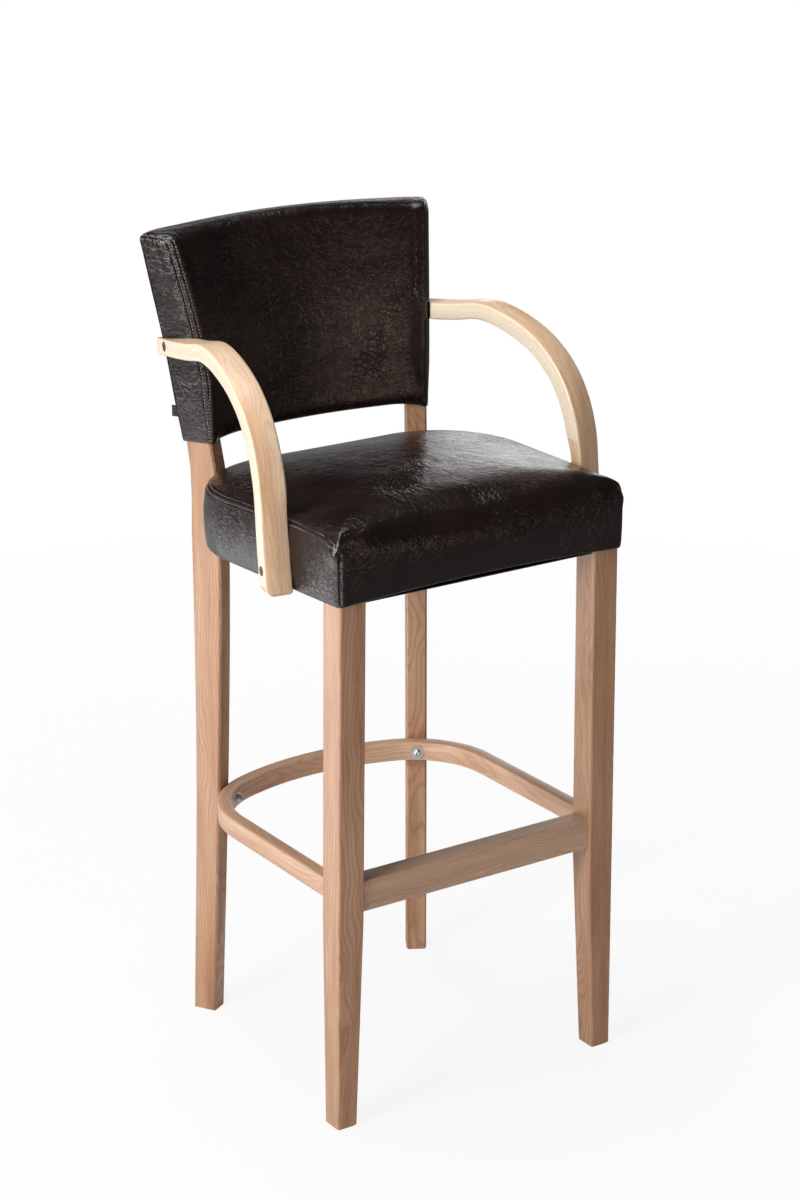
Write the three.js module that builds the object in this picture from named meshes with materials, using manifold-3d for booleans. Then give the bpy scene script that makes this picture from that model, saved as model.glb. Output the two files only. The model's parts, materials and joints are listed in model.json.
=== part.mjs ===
// Bar stool with arms: hardwood frame, bent laminated arms and foot ring, upholstered seat and back.
// Millimetres, +Z up, floor at zero. The stool faces -Y; left and right are as seen from the front.
// Every paired piece is drawn once for the right side (+X) and mirrored for the left.

import * as THREE from "three";
import { mergeVertices } from "three/addons/utils/BufferGeometryUtils.js";
import Module from "manifold-3d";

const wasm = await Module();
wasm.setup();

// Fits shared by all pieces
const gap = 0.3;
const overrun = 20;
const weld = 0.002;
const edgeEase = 1.6;

// Main sizes, from which the others are measured
const seatBottom = 704;
const seatFront = 231;
const seatFrontHalf = 215.5;
const rearLegHeight = 1066;
const railBottom = 294.3;

// Front legs: square stock, outer faces splayed, inner and rear faces tapered below the footrest
const legStock = 38;
const legStockDeep = 38.6;
const legFootWide = 29.2;
const legFootDeep = 30.3;
const legIntoSeat = 48;
const legTopHeight = seatBottom + legIntoSeat;
const legTaperBelowRail = 10.3;
const legTaperHeight = railBottom - legTaperBelowRail;
const legArris = 2.6;
const footChamfer = 2;
const frontLegSetIn = 6.2;
const frontLegSetBack = 5.1;
const frontLegSplayOut = 7.9;
const frontLegSplayBack = 6.8;
const frontLegOuterTop = seatFrontHalf - frontLegSetIn;
const frontLegOuterFoot = frontLegOuterTop + frontLegSplayOut;
const frontLegFaceTop = seatFront - frontLegSetBack;
const frontLegFaceFoot = frontLegFaceTop - frontLegSplayBack;

// Rear legs: one plank each, sawn to a curve, turned in plan
const rearLegTurn = THREE.MathUtils.degToRad(31);
const rearLegPlank = 28.6;
const rearLegPlaneShare = 0.3211;
const rearLegPlaneOut = rearLegPlaneShare * seatFrontHalf;
const rearLegWaistShare = 0.9374;
const rearLegWaist = rearLegWaistShare * seatFrontHalf;
const rearLegSweep = 72;
const rearLegArris = 2.4;
const rearLegFrontShares = [
  [0, 0.37], [0.305, 0.15], [0.52, 0.035], [0.66, 0], [0.72, 0.035], [0.764, 0.14],
  [0.804, 0.24], [0.86, 0.365], [0.904, 0.49], [0.96, 0.72], [1, 0.9],
];
const rearLegDeepest = 43.4;
const rearLegDepthShares = [
  [0, 0.74], [0.32, 0.83], [0.6, 0.97], [0.66, 0.98], [0.72, 0.9], [0.764, 0.84],
  [0.83, 0.88], [0.904, 0.9], [0.96, 0.84], [1, 0.76],
];

// Footrest rail between the front legs
const railHigh = 42.8;
const railDeep = 28.3;
const railSetBack = 4.2;
const railTenonThick = 12;
const railTenonHigh = 30;
const railTenonLong = 17;

// Foot ring: bent lamination, two arms, two corner bends and a long rear bend
const ringOverRail = 13.7;
const ringBottom = railBottom + ringOverRail;
const ringHigh = 27;
const ringWide = 19;
const ringSetIn = 7.5;
const ringOuterHalf = seatFrontHalf - ringSetIn;
const ringBendShare = 0.5963;
const ringBendRadius = ringBendShare * seatFrontHalf;
const ringStartShare = 0.2274;
const ringBendStart = ringStartShare * seatFrontHalf;
const ringBendAngle = THREE.MathUtils.degToRad(70);
const ringEase = 2.2;
const ringTenonThick = 9;
const ringTenonHigh = 17;
const ringTenonLong = 22;

// Foot ring bolts and washers
const ringBoltAcross = 6;
const ringBoltHeadAcross = 10.4;
const ringBoltHeadHigh = 4;
const ringBoltSocketAcross = 5;
const ringBoltSocketDeep = 2.4;
const ringBoltReach = 26;
const washerAcross = 18.4;
const washerThick = 1.5;
const spotFaceDeep = 1.1;

// Seat: a D in plan, square front corners, round rear corners that meet the rear legs
const seatNoseRadius = 11;
const seatNoseLeast = 3;
const seatHeelShare = 0.4455;
const seatHeelX = seatHeelShare * seatFrontHalf;
const seatHeelY = 20;
const seatSideTurn = THREE.MathUtils.degToRad(4);
const seatSideHigh = 84;
const seatFall = 11;
const seatCrown = 25;
const seatDrawnIn = 2;
const seatFrontArch = 6.5;
const seatArchZone = 60;
const seatEdgeIn = 4.2;
const seatRollIn = 9.6;
const seatShoulderIn = 22.4;
const seatSideShares = [0.5, 0.8, 0.9, 0.96];
const seatCrownShares = [0.28, 0.5, 0.76, 0.94];
const seatShrinkShares = [0.78, 0.45, 0.15];
const coverThick = 1.8;
const hemWide = 20;
const seatRailThick = 21;
const seatBoardThick = 12;
const dustCoverThick = 1.2;
const cornerBlockLong = 58;

// Bolts that hold the rear legs to the seat frame
const frameBoltAcross = 6;
const frameBoltHeadAcross = 13;
const frameBoltHeadHigh = 5;
const frameBoltReach = 28;
const frameBoltUp = 28;
const frameBoltHeight = seatBottom + frameBoltUp;

// Arms: bent laminations, each in an upright plane that toes in towards the rear
const armToe = THREE.MathUtils.degToRad(8.6);
const armSetOut = 3.1;
const armMidX = seatFrontHalf + armSetOut;
const armWide = 36;
const armThick = 22.5;
const armEase = 2.4;
const armPastLeg = 15;
const armRearEnd = rearLegWaist + armPastLeg;
const armFrontEnd = 127;
const armFootDrop = 5.5;
const armFootHeight = seatBottom - armFootDrop;
const armRiseShare = 0.7102;
const armRise = armRiseShare * (rearLegHeight - armFootHeight);
const armFootRound = 11;
const armTipThick = 6.5;
const armLineShares = [
  [0, 0], [0.014, 0.12], [0.031, 0.29], [0.043, 0.475], [0.073, 0.61], [0.122, 0.732],
  [0.189, 0.829], [0.291, 0.916], [0.427, 0.977], [0.52, 0.998], [0.575, 0.998],
  [0.66, 0.972], [0.76, 0.95], [0.89, 0.926], [1, 0.908],
];

// Arm bolts and their caps
const armBoltAcross = 7;
const armBoltHeadAcross = 9.4;
const armBoltHeadHigh = 2.6;
const armCapAcross = 12;
const armCapThick = 1.6;
const armCapSunk = 0.5;
const armBoltBeforeLeg = 14;
const armBoltRearY = rearLegWaist - armBoltBeforeLeg;
const armBoltRearShare = 0.9272;
const armBoltRearHeight = armFootHeight + armBoltRearShare * armRise;
const armBoltRearReach = 30;
const armBoltRearCounterbore = armCapSunk + armCapThick + gap;
const armBoltFrontY = 122.6;
const armBoltFrontUp = 32;
const armBoltFrontHeight = armFootHeight + armBoltFrontUp;
const armBoltFrontCounterbore = 14;
const armBoltPastRail = 3;
const armBoltFrontReach = armWide - armBoltFrontCounterbore + seatRailThick + armBoltPastRail;

// Back: a boxed cushion, its side boxing lying on the turned rear legs
const backOverSeat = 27;
const backBottom = seatBottom + seatSideHigh + backOverSeat;
const backPanelLift = 6;
const backOverLegs = 19;
const backTop = rearLegHeight + backOverLegs;
const backCrest = 6;
const backBow = 24;
const backRearBow = 12;
const backRearSlack = 0.8;
const backWadding = 1.9;
const backSideFull = 2.4;
const backPad = 11;
const backCornerSoft = 5;
const backCornerFrontShares = [[-1, 3], [-0.8, 1.2], [-0.3, 0.3], [0.3, 0]];
const backCornerRearShares = [[-0.5, 0], [0, 0.5]];
const backFullestShare = 0.4;
const backPadRiseShare = 0.3;
const backFullRiseShare = 0.2;
const backLiftRiseShare = 0.12;
const backBowLowShare = 0.86;
const backBowRiseShare = 0.2;
const backFrontShares = [0, 0.22, 0.44, 0.64, 0.82];
const backRearShares = [0.8, 0.6, 0.4, 0.2, 0];
const backTopDrop = [8, 2.6, 0];
const backTopRoll = [1, 4.2, 9.6];
const backRailShare = 0.163;
const backRailHigh = backRailShare * (backTop - backBottom);
const backRailThick = 19;
const backRailDown = 4;
const backRailTopLow = rearLegHeight - backRailDown - backRailHigh;
const backBoardThick = 5;
const tabWide = 9;
const tabHigh = 15;
const tabThick = 0.8;
const tabUp = 38;
const tabHeight = backBottom + tabUp;

// Counts that set how finely curves are drawn
const roundSteps = 16;
const bendSteps = 10;
const heelSteps = 7;
const legSteps = 26;
const armSteps = 28;

// Colours seen in the photograph
const woodColour = 0xb98a68;
const leatherColour = 0x2a1f1d;
const zincColour = 0xb9bcc0;
const capColour = 0x5c3a26;
const pineColour = 0xc9ad83;
const foamColour = 0xd9c98f;
const clothColour = 0x151515;

function wood() {
  return new THREE.MeshStandardMaterial({ color: woodColour, roughness: 0.45, metalness: 0 });
}

function framePine() {
  return new THREE.MeshStandardMaterial({ color: pineColour, roughness: 0.75, metalness: 0 });
}

function leather() {
  return new THREE.MeshStandardMaterial({ color: leatherColour, roughness: 0.32, metalness: 0 });
}

function foam() {
  return new THREE.MeshStandardMaterial({ color: foamColour, roughness: 0.95, metalness: 0 });
}

function blackCloth() {
  return new THREE.MeshStandardMaterial({ color: clothColour, roughness: 0.95, metalness: 0 });
}

function zinc() {
  return new THREE.MeshStandardMaterial({ color: zincColour, roughness: 0.3, metalness: 1 });
}

function brownCap() {
  return new THREE.MeshStandardMaterial({ color: capColour, roughness: 0.4, metalness: 0.1 });
}

// Solid helpers: weld a drawn shape, cut it, join it and mirror it

function solidOf(geometry) {
  const plain = geometry.clone();
  plain.deleteAttribute("normal");
  plain.deleteAttribute("uv");
  const welded = mergeVertices(plain, weld);
  return new wasm.Manifold(new wasm.Mesh({
    numProp: 3,
    vertProperties: new Float32Array(welded.attributes.position.array),
    triVerts: new Uint32Array(welded.index.array),
  }));
}

function geometryOf(solid) {
  const mesh = solid.getMesh();
  const geometry = new THREE.BufferGeometry();
  geometry.setAttribute("position", new THREE.BufferAttribute(new Float32Array(mesh.vertProperties), 3));
  geometry.setIndex(new THREE.BufferAttribute(new Uint32Array(mesh.triVerts), 1));
  return geometry;
}

function cut(body, ...tools) {
  let solid = solidOf(body);
  for (const tool of tools) {
    solid = solid.subtract(solidOf(tool));
  }
  return geometryOf(solid);
}

function join(body, ...others) {
  let solid = solidOf(body);
  for (const other of others) {
    solid = solid.add(solidOf(other));
  }
  return geometryOf(solid);
}

function common(body, tool) {
  return geometryOf(solidOf(body).intersect(solidOf(tool)));
}

function mirrored(geometry) {
  const copy = geometry.index ? geometry.toNonIndexed() : geometry.clone();
  const place = copy.attributes.position;
  for (let i = 0; i < place.count; i += 3) {
    const first = new THREE.Vector3().fromBufferAttribute(place, i + 1);
    const second = new THREE.Vector3().fromBufferAttribute(place, i + 2);
    place.setXYZ(i + 1, second.x, second.y, second.z);
    place.setXYZ(i + 2, first.x, first.y, first.z);
  }
  copy.deleteAttribute("normal");
  copy.deleteAttribute("uv");
  copy.scale(-1, 1, 1);
  return copy;
}

// A closed body through a stack of rings, each drawn counter-clockwise seen from above, bottom first
function loft(rings) {
  const count = rings[0].length;
  const places = [];
  const faces = [];
  for (const ring of rings) {
    for (const point of ring) {
      places.push(point.x, point.y, point.z);
    }
  }
  for (let level = 0; level < rings.length - 1; level += 1) {
    for (let i = 0; i < count; i += 1) {
      const next = (i + 1) % count;
      const low = level * count;
      const high = low + count;
      faces.push(low + i, low + next, high + next);
      faces.push(low + i, high + next, high + i);
    }
  }
  const flat = (ring) => ring.map((point) => new THREE.Vector2(point.x, point.y));
  const top = (rings.length - 1) * count;
  for (const [a, b, c] of THREE.ShapeUtils.triangulateShape(flat(rings[0]), [])) {
    faces.push(c, b, a);
  }
  for (const [a, b, c] of THREE.ShapeUtils.triangulateShape(flat(rings[rings.length - 1]), [])) {
    faces.push(top + a, top + b, top + c);
  }
  const geometry = new THREE.BufferGeometry();
  geometry.setAttribute("position", new THREE.Float32BufferAttribute(places, 3));
  geometry.setIndex(faces);
  return geometry;
}

// A smooth value read from a table of [place, value] shares
function smooth(table, place) {
  let index = 0;
  while (index < table.length - 2 && place > table[index + 1][0]) {
    index += 1;
  }
  const before = table[Math.max(index - 1, 0)];
  const start = table[index];
  const end = table[index + 1];
  const after = table[Math.min(index + 2, table.length - 1)];
  const span = end[0] - start[0];
  const local = THREE.MathUtils.clamp((place - start[0]) / span, 0, 1);
  const slopeIn = ((end[1] - before[1]) / (end[0] - before[0])) * span;
  const slopeOut = ((after[1] - start[1]) / (after[0] - start[0])) * span;
  const squared = local * local;
  const cubed = squared * local;
  return (2 * cubed - 3 * squared + 1) * start[1] + (cubed - 2 * squared + local) * slopeIn
    + (3 * squared - 2 * cubed) * end[1] + (cubed - squared) * slopeOut;
}

// A rounded rectangle ring at one height
function sectionRing(left, right, front, rear, radius, height) {
  const ring = [];
  const corners = [
    [right - radius, front + radius, -Math.PI / 2],
    [right - radius, rear - radius, 0],
    [left + radius, rear - radius, Math.PI / 2],
    [left + radius, front + radius, Math.PI],
  ];
  for (const [x, y, start] of corners) {
    for (const turn of [0, Math.PI / 4, Math.PI / 2]) {
      const angle = start + turn;
      ring.push(new THREE.Vector3(x + radius * Math.cos(angle), y + radius * Math.sin(angle), height));
    }
  }
  return ring;
}

function boxBetween(low, high) {
  const size = new THREE.Vector3().subVectors(high, low);
  const middle = new THREE.Vector3().addVectors(low, high).multiplyScalar(1 / 2);
  return new THREE.BoxGeometry(size.x, size.y, size.z).translate(middle.x, middle.y, middle.z);
}

// A box with its long edges eased, drawn as an extruded rounded rectangle along X
function easedRail(halfLong, front, rear, low, high, ease) {
  const shape = new THREE.Shape();
  shape.moveTo(front + ease, low);
  shape.lineTo(rear - ease, low);
  shape.absarc(rear - ease, low + ease, ease, -Math.PI / 2, 0, false);
  shape.absarc(rear - ease, high - ease, ease, 0, Math.PI / 2, false);
  shape.absarc(front + ease, high - ease, ease, Math.PI / 2, Math.PI, false);
  shape.absarc(front + ease, low + ease, ease, Math.PI, Math.PI * 3 / 2, false);
  const rail = new THREE.ExtrudeGeometry(shape, {
    depth: 2 * halfLong,
    bevelEnabled: false,
    curveSegments: 2,
  });
  const axes = new THREE.Matrix4().makeBasis(
    new THREE.Vector3(0, 1, 0), new THREE.Vector3(0, 0, 1), new THREE.Vector3(1, 0, 0),
  );
  return rail.applyMatrix4(axes).translate(-halfLong, 0, 0);
}

// A rod of radius `radius` from `start` along `direction`
function rod(start, direction, long, radius, sides = roundSteps) {
  const geometry = new THREE.CylinderGeometry(radius, radius, long, sides);
  const turn = new THREE.Quaternion().setFromUnitVectors(new THREE.Vector3(0, 1, 0), direction);
  const middle = start.clone().addScaledVector(direction, long / 2);
  return geometry.applyQuaternion(turn).translate(middle.x, middle.y, middle.z);
}

// A turned body from a closed [radius, place] profile, its axis laid on `direction`
function turned(profile, start, direction) {
  const points = profile.map(([radius, place]) => new THREE.Vector2(radius, place));
  const geometry = new THREE.LatheGeometry(points, roundSteps);
  const turn = new THREE.Quaternion().setFromUnitVectors(new THREE.Vector3(0, 1, 0), direction);
  return geometry.applyQuaternion(turn).translate(start.x, start.y, start.z);
}

// Front legs

function frontLegOuter(height) {
  return THREE.MathUtils.lerp(frontLegOuterFoot, frontLegOuterTop, height / legTopHeight);
}

function frontLegFace(height) {
  return -THREE.MathUtils.lerp(frontLegFaceFoot, frontLegFaceTop, height / legTopHeight);
}

function frontLegSize(height) {
  const taper = Math.min(height / legTaperHeight, 1);
  return {
    wide: THREE.MathUtils.lerp(legFootWide, legStock, taper),
    deep: THREE.MathUtils.lerp(legFootDeep, legStockDeep, taper),
  };
}

function frontLegRing(height, inset, grow = 0) {
  const { wide, deep } = frontLegSize(height);
  const outer = frontLegOuter(height) - inset + grow;
  const face = frontLegFace(height) + inset - grow;
  const inner = outer - wide + 2 * (inset - grow);
  const rear = face + deep - 2 * (inset - grow);
  return sectionRing(inner, outer, face, rear, legArris, height);
}

function frontLegInner(height) {
  return frontLegOuter(height) - frontLegSize(height).wide;
}

function frontLegRear(height) {
  return frontLegFace(height) + frontLegSize(height).deep;
}

function frontLeg() {
  const body = loft([
    frontLegRing(0, footChamfer),
    frontLegRing(footChamfer, 0),
    frontLegRing(legTaperHeight, 0),
    frontLegRing(legTopHeight - edgeEase, 0),
    frontLegRing(legTopHeight, edgeEase),
  ]);
  return cut(body, railTenon(gap), ringTenon(gap));
}

// The leg's upper stock grown by a clearance, used to notch what it passes through
function frontLegTool(clearance) {
  return loft([
    frontLegRing(seatBottom - overrun, 0, clearance),
    frontLegRing(legTopHeight + overrun, 0, clearance),
  ]);
}

// Footrest rail

const railMiddle = railBottom + railHigh / 2;
const railFace = frontLegFace(railMiddle) + railSetBack;
const railHalf = frontLegInner(railBottom + railHigh) - gap;

function railTenon(clearance) {
  const low = new THREE.Vector3(
    railHalf - railTenonLong,
    railFace + railDeep / 2 - railTenonThick / 2 - clearance,
    railMiddle - railTenonHigh / 2 - clearance,
  );
  const high = new THREE.Vector3(
    railHalf + railTenonLong + clearance,
    railFace + railDeep / 2 + railTenonThick / 2 + clearance,
    railMiddle + railTenonHigh / 2 + clearance,
  );
  return boxBetween(low, high);
}

function footrestRail() {
  const railTop = railBottom + railHigh;
  const body = easedRail(railHalf, railFace, railFace + railDeep, railBottom, railTop, legArris);
  return join(body, railTenon(0), mirrored(railTenon(0)));
}

// Foot ring

const ringBendX = ringOuterHalf - ringBendRadius;
const ringRearRadius = ringBendRadius + ringBendX / Math.cos(ringBendAngle);
const ringRearY = ringBendStart - ringBendX * Math.tan(ringBendAngle);
const ringFrontEnd = frontLegRear(ringBottom + ringHigh / 2) + gap + edgeEase / 2;

// Half of the ring's edge, from the front end to the middle of the rear bend
function ringEdge(inset) {
  const points = [new THREE.Vector2(ringOuterHalf - inset, ringFrontEnd)];
  const bend = ringBendRadius - inset;
  for (let i = 0; i <= bendSteps; i += 1) {
    const angle = (ringBendAngle * i) / bendSteps;
    const across = ringBendX + bend * Math.cos(angle);
    points.push(new THREE.Vector2(across, ringBendStart + bend * Math.sin(angle)));
  }
  const rear = ringRearRadius - inset;
  const rearSteps = bendSteps / 2;
  for (let i = 1; i <= rearSteps; i += 1) {
    const angle = THREE.MathUtils.lerp(ringBendAngle, Math.PI / 2, i / rearSteps);
    points.push(new THREE.Vector2(rear * Math.cos(angle), ringRearY + rear * Math.sin(angle)));
  }
  points[points.length - 1].x = 0;
  return points;
}

function bothHalves(half) {
  const otherHalf = half.slice(0, -1).reverse().map((point) => new THREE.Vector2(-point.x, point.y));
  return half.concat(otherHalf);
}

function ringTenon(clearance) {
  const x = ringOuterHalf - ringWide / 2;
  const z = ringBottom + ringHigh / 2;
  const low = new THREE.Vector3(
    x - ringTenonThick / 2 - clearance, ringFrontEnd - ringTenonLong - clearance,
    z - ringTenonHigh / 2 - clearance,
  );
  const high = new THREE.Vector3(
    x + ringTenonThick / 2 + clearance, ringFrontEnd + ringTenonLong,
    z + ringTenonHigh / 2 + clearance,
  );
  return boxBetween(low, high);
}

function footRing() {
  const outer = bothHalves(ringEdge(ringEase));
  const inner = bothHalves(ringEdge(ringWide - ringEase)).reverse();
  const shape = new THREE.Shape(outer.concat(inner));
  const body = new THREE.ExtrudeGeometry(shape, {
    depth: ringHigh - 2 * ringEase,
    bevelEnabled: true,
    bevelSize: ringEase,
    bevelThickness: ringEase,
    bevelSegments: 1,
  });
  body.translate(0, 0, ringBottom + ringEase);
  const ends = new THREE.Vector3(ringOuterHalf + overrun, ringFrontEnd, ringBottom + ringHigh + overrun);
  const endCut = boxBetween(
    new THREE.Vector3(-ringOuterHalf - overrun, ringFrontEnd - overrun, ringBottom - overrun), ends,
  );
  const squared = cut(body, endCut);
  const tenoned = join(squared, ringTenon(0), mirrored(ringTenon(0)));
  const tools = [ringSpotFace(), ringBoltHole()];
  return cut(tenoned, ...tools, ...tools.map(mirrored));
}

// Directions of the turned rear leg: rearward along its depth and outward through its plank
const legBack = new THREE.Vector3(Math.sin(rearLegTurn), Math.cos(rearLegTurn), 0);
const legOut = new THREE.Vector3(Math.cos(rearLegTurn), -Math.sin(rearLegTurn), 0);
const legForward = legBack.clone().negate();

function legPlace(back, out, height) {
  return new THREE.Vector3(0, 0, height).addScaledVector(legBack, back).addScaledVector(legOut, out);
}

// The leg's edges are straight between evenly spaced stations, and so is all that lies on them
const legStation = rearLegHeight / legSteps;

function betweenStations(table, height) {
  const step = Math.min(Math.floor(height / legStation), legSteps - 1);
  const share = height / legStation - step;
  return THREE.MathUtils.lerp(smooth(table, step / legSteps), smooth(table, (step + 1) / legSteps), share);
}

function rearLegFront(height) {
  return rearLegWaist + rearLegSweep * betweenStations(rearLegFrontShares, height);
}

function rearLegRear(height) {
  return rearLegFront(height) + rearLegDeepest * betweenStations(rearLegDepthShares, height);
}

function stationsBetween(low, high) {
  const heights = [low];
  for (let i = 0; i <= legSteps; i += 1) {
    const height = i * legStation;
    if (height > low + edgeEase && height < high - edgeEase) {
      heights.push(height);
    }
  }
  heights.push(high);
  return heights;
}

// The plank's profile, eased or grown, extruded through its thickness
function rearLegPlankBody(ease, grow, growOut) {
  const front = [];
  const rear = [];
  for (let i = 0; i <= legSteps; i += 1) {
    const height = (rearLegHeight * i) / legSteps;
    const level = THREE.MathUtils.clamp(height, ease - gap, rearLegHeight - ease);
    const place = grow > 0 && i === legSteps ? rearLegHeight + grow : level;
    front.push(new THREE.Vector2(rearLegFront(level) + ease - grow, place));
    rear.push(new THREE.Vector2(rearLegRear(level) - ease + grow, place));
  }
  const shape = new THREE.Shape(rear.concat(front.reverse()));
  const thick = rearLegPlank - 2 * ease + 2 * grow + growOut;
  const body = new THREE.ExtrudeGeometry(shape, {
    depth: thick,
    bevelEnabled: ease > 0,
    bevelSize: ease,
    bevelThickness: ease,
    bevelSegments: 1,
  });
  const axes = new THREE.Matrix4().makeBasis(legBack, new THREE.Vector3(0, 0, 1), legOut);
  const start = legOut.clone().multiplyScalar(rearLegPlaneOut - rearLegPlank + ease - grow);
  return body.applyMatrix4(axes).translate(start.x, start.y, start.z);
}

const rearLegMiddleOut = rearLegPlaneOut - rearLegPlank / 2;

// Everything under the floor, which trims the foot flat
function underFloor() {
  const low = new THREE.Vector3(-seatFront, -seatFront, -overrun);
  return boxBetween(low, new THREE.Vector3(seatFront, seatFront, 0));
}

function rearLeg() {
  const bolts = [ringBoltHole(), frameBoltHole(), armBoltRearHole()];
  return cut(rearLegPlankBody(rearLegArris, 0, 0), underFloor(), ...bolts);
}

// Foot ring bolts: the ring's inner face where the bolt axis meets it
const ringBoltHeight = ringBottom + ringHigh / 2 - edgeEase;
const ringBendPlace = new THREE.Vector3(ringBendX, ringBendStart, 0);
const ringBoltSide = rearLegMiddleOut - ringBendPlace.dot(legOut);
const ringInnerReach = Math.sqrt((ringBendRadius - ringWide) ** 2 - ringBoltSide ** 2);
const ringOuterReach = Math.sqrt(ringBendRadius ** 2 - ringBoltSide ** 2);
const ringInnerFace = ringBendPlace.dot(legBack) + ringInnerReach;
const ringOuterFace = ringBendPlace.dot(legBack) + ringOuterReach;
const spotFaceFloor = ringInnerFace + spotFaceDeep;

function ringSpotFace() {
  const start = legPlace(spotFaceFloor - overrun, rearLegMiddleOut, ringBoltHeight);
  return rod(start, legBack, overrun, washerAcross / 2 + 2 * gap);
}

function ringBoltHole() {
  const start = legPlace(spotFaceFloor - overrun, rearLegMiddleOut, ringBoltHeight);
  const long = overrun + ringOuterFace - spotFaceFloor + ringBoltReach + gap;
  return rod(start, legBack, long, ringBoltAcross / 2 + gap);
}

function ringWasher() {
  const hole = ringBoltAcross / 2 + gap;
  const outer = washerAcross / 2;
  const profile = [
    [hole, 0], [outer, 0], [outer, washerThick], [hole, washerThick], [hole, 0],
  ];
  const start = legPlace(spotFaceFloor - gap - washerThick, rearLegMiddleOut, ringBoltHeight);
  return turned(profile, start, legBack);
}

function socketBolt(seat, out, height, size) {
  const head = size.headAcross / 2;
  const shank = size.across / 2;
  const reach = size.reach + size.headHigh;
  const dome = size.headHigh / 2;
  const profile = [
    [0, 0], [head - dome, 0], [head - dome / 3, dome / 3], [head, dome], [head, size.headHigh],
    [shank, size.headHigh], [shank, reach], [0, reach],
  ];
  const start = legPlace(seat - size.headHigh, out, height);
  const body = turned(profile, start, legBack);
  const socketStart = legPlace(seat - size.headHigh - overrun, out, height);
  const socket = rod(socketStart, legBack, overrun + size.socketDeep, size.socketAcross / 2, 6);
  return cut(body, socket);
}

function ringBolt() {
  const seat = spotFaceFloor - 2 * gap - washerThick;
  return socketBolt(seat, rearLegMiddleOut, ringBoltHeight, {
    across: ringBoltAcross,
    headAcross: ringBoltHeadAcross,
    headHigh: ringBoltHeadHigh,
    socketAcross: ringBoltSocketAcross,
    socketDeep: ringBoltSocketDeep,
    reach: ringOuterFace - seat + ringBoltReach,
  });
}

// Seat outline: the same D at any inset from the outside of the cover

const seatHeelPlace = new THREE.Vector3(seatHeelX, seatHeelY, 0);
const seatHeelRadius = rearLegWaist - gap - seatHeelPlace.dot(legBack);

function seatOutline(inset) {
  const nose = Math.max(seatNoseRadius - inset, seatNoseLeast);
  const noseX = seatFrontHalf - inset - nose;
  const noseY = -seatFront + inset + nose;
  const heel = seatHeelRadius - inset;
  const half = [];
  const frontSteps = 5;
  const sideSteps = 4;
  const rearSteps = 2;
  for (let i = 0; i < frontSteps; i += 1) {
    half.push(new THREE.Vector2((noseX * i) / frontSteps, noseY - nose));
  }
  const noseSteps = 2;
  for (let i = 0; i <= noseSteps; i += 1) {
    const angle = THREE.MathUtils.lerp(-Math.PI / 2, -seatSideTurn, i / noseSteps);
    half.push(new THREE.Vector2(noseX + nose * Math.cos(angle), noseY + nose * Math.sin(angle)));
  }
  const sideStart = half[half.length - 1].clone();
  const sideEnd = new THREE.Vector2(
    seatHeelX + heel * Math.cos(-seatSideTurn), seatHeelY + heel * Math.sin(-seatSideTurn),
  );
  for (let i = 1; i < sideSteps; i += 1) {
    half.push(new THREE.Vector2().lerpVectors(sideStart, sideEnd, i / sideSteps));
  }
  for (let i = 0; i <= heelSteps; i += 1) {
    const angle = THREE.MathUtils.lerp(-seatSideTurn, Math.PI / 2, i / heelSteps);
    half.push(new THREE.Vector2(seatHeelX + heel * Math.cos(angle), seatHeelY + heel * Math.sin(angle)));
  }
  for (let i = 1; i <= rearSteps; i += 1) {
    half.push(new THREE.Vector2(seatHeelX * (1 - i / rearSteps), seatHeelY + heel));
  }
  const otherHalf = half.slice(1, -1).reverse().map((point) => new THREE.Vector2(-point.x, point.y));
  return half.concat(otherHalf);
}

// How far the front bottom edge arches up at one place
function seatArch(x, y) {
  const across = 1 - (x / seatFrontHalf) ** 2;
  const near = THREE.MathUtils.clamp((seatArchZone - seatFront - y) / (seatArchZone / 2), 0, 1);
  return seatFrontArch * across * near;
}

// One ring of the seat: rise is its height over the seat bottom, fall tilts its top to the rear
function seatRing(inset, rise, archShare, fallShare, shrink = 1) {
  const middleY = seatHeelY - seatHeelRadius / 3;
  return seatOutline(inset).map((point) => {
    const x = point.x * shrink;
    const y = middleY + (point.y - middleY) * shrink;
    const rearward = (y + seatFront) / (seatFront + seatHeelY + seatHeelRadius);
    const height = seatBottom + rise + archShare * seatArch(x, y) - fallShare * seatFall * rearward;
    return new THREE.Vector3(x, y, height);
  });
}

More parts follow.
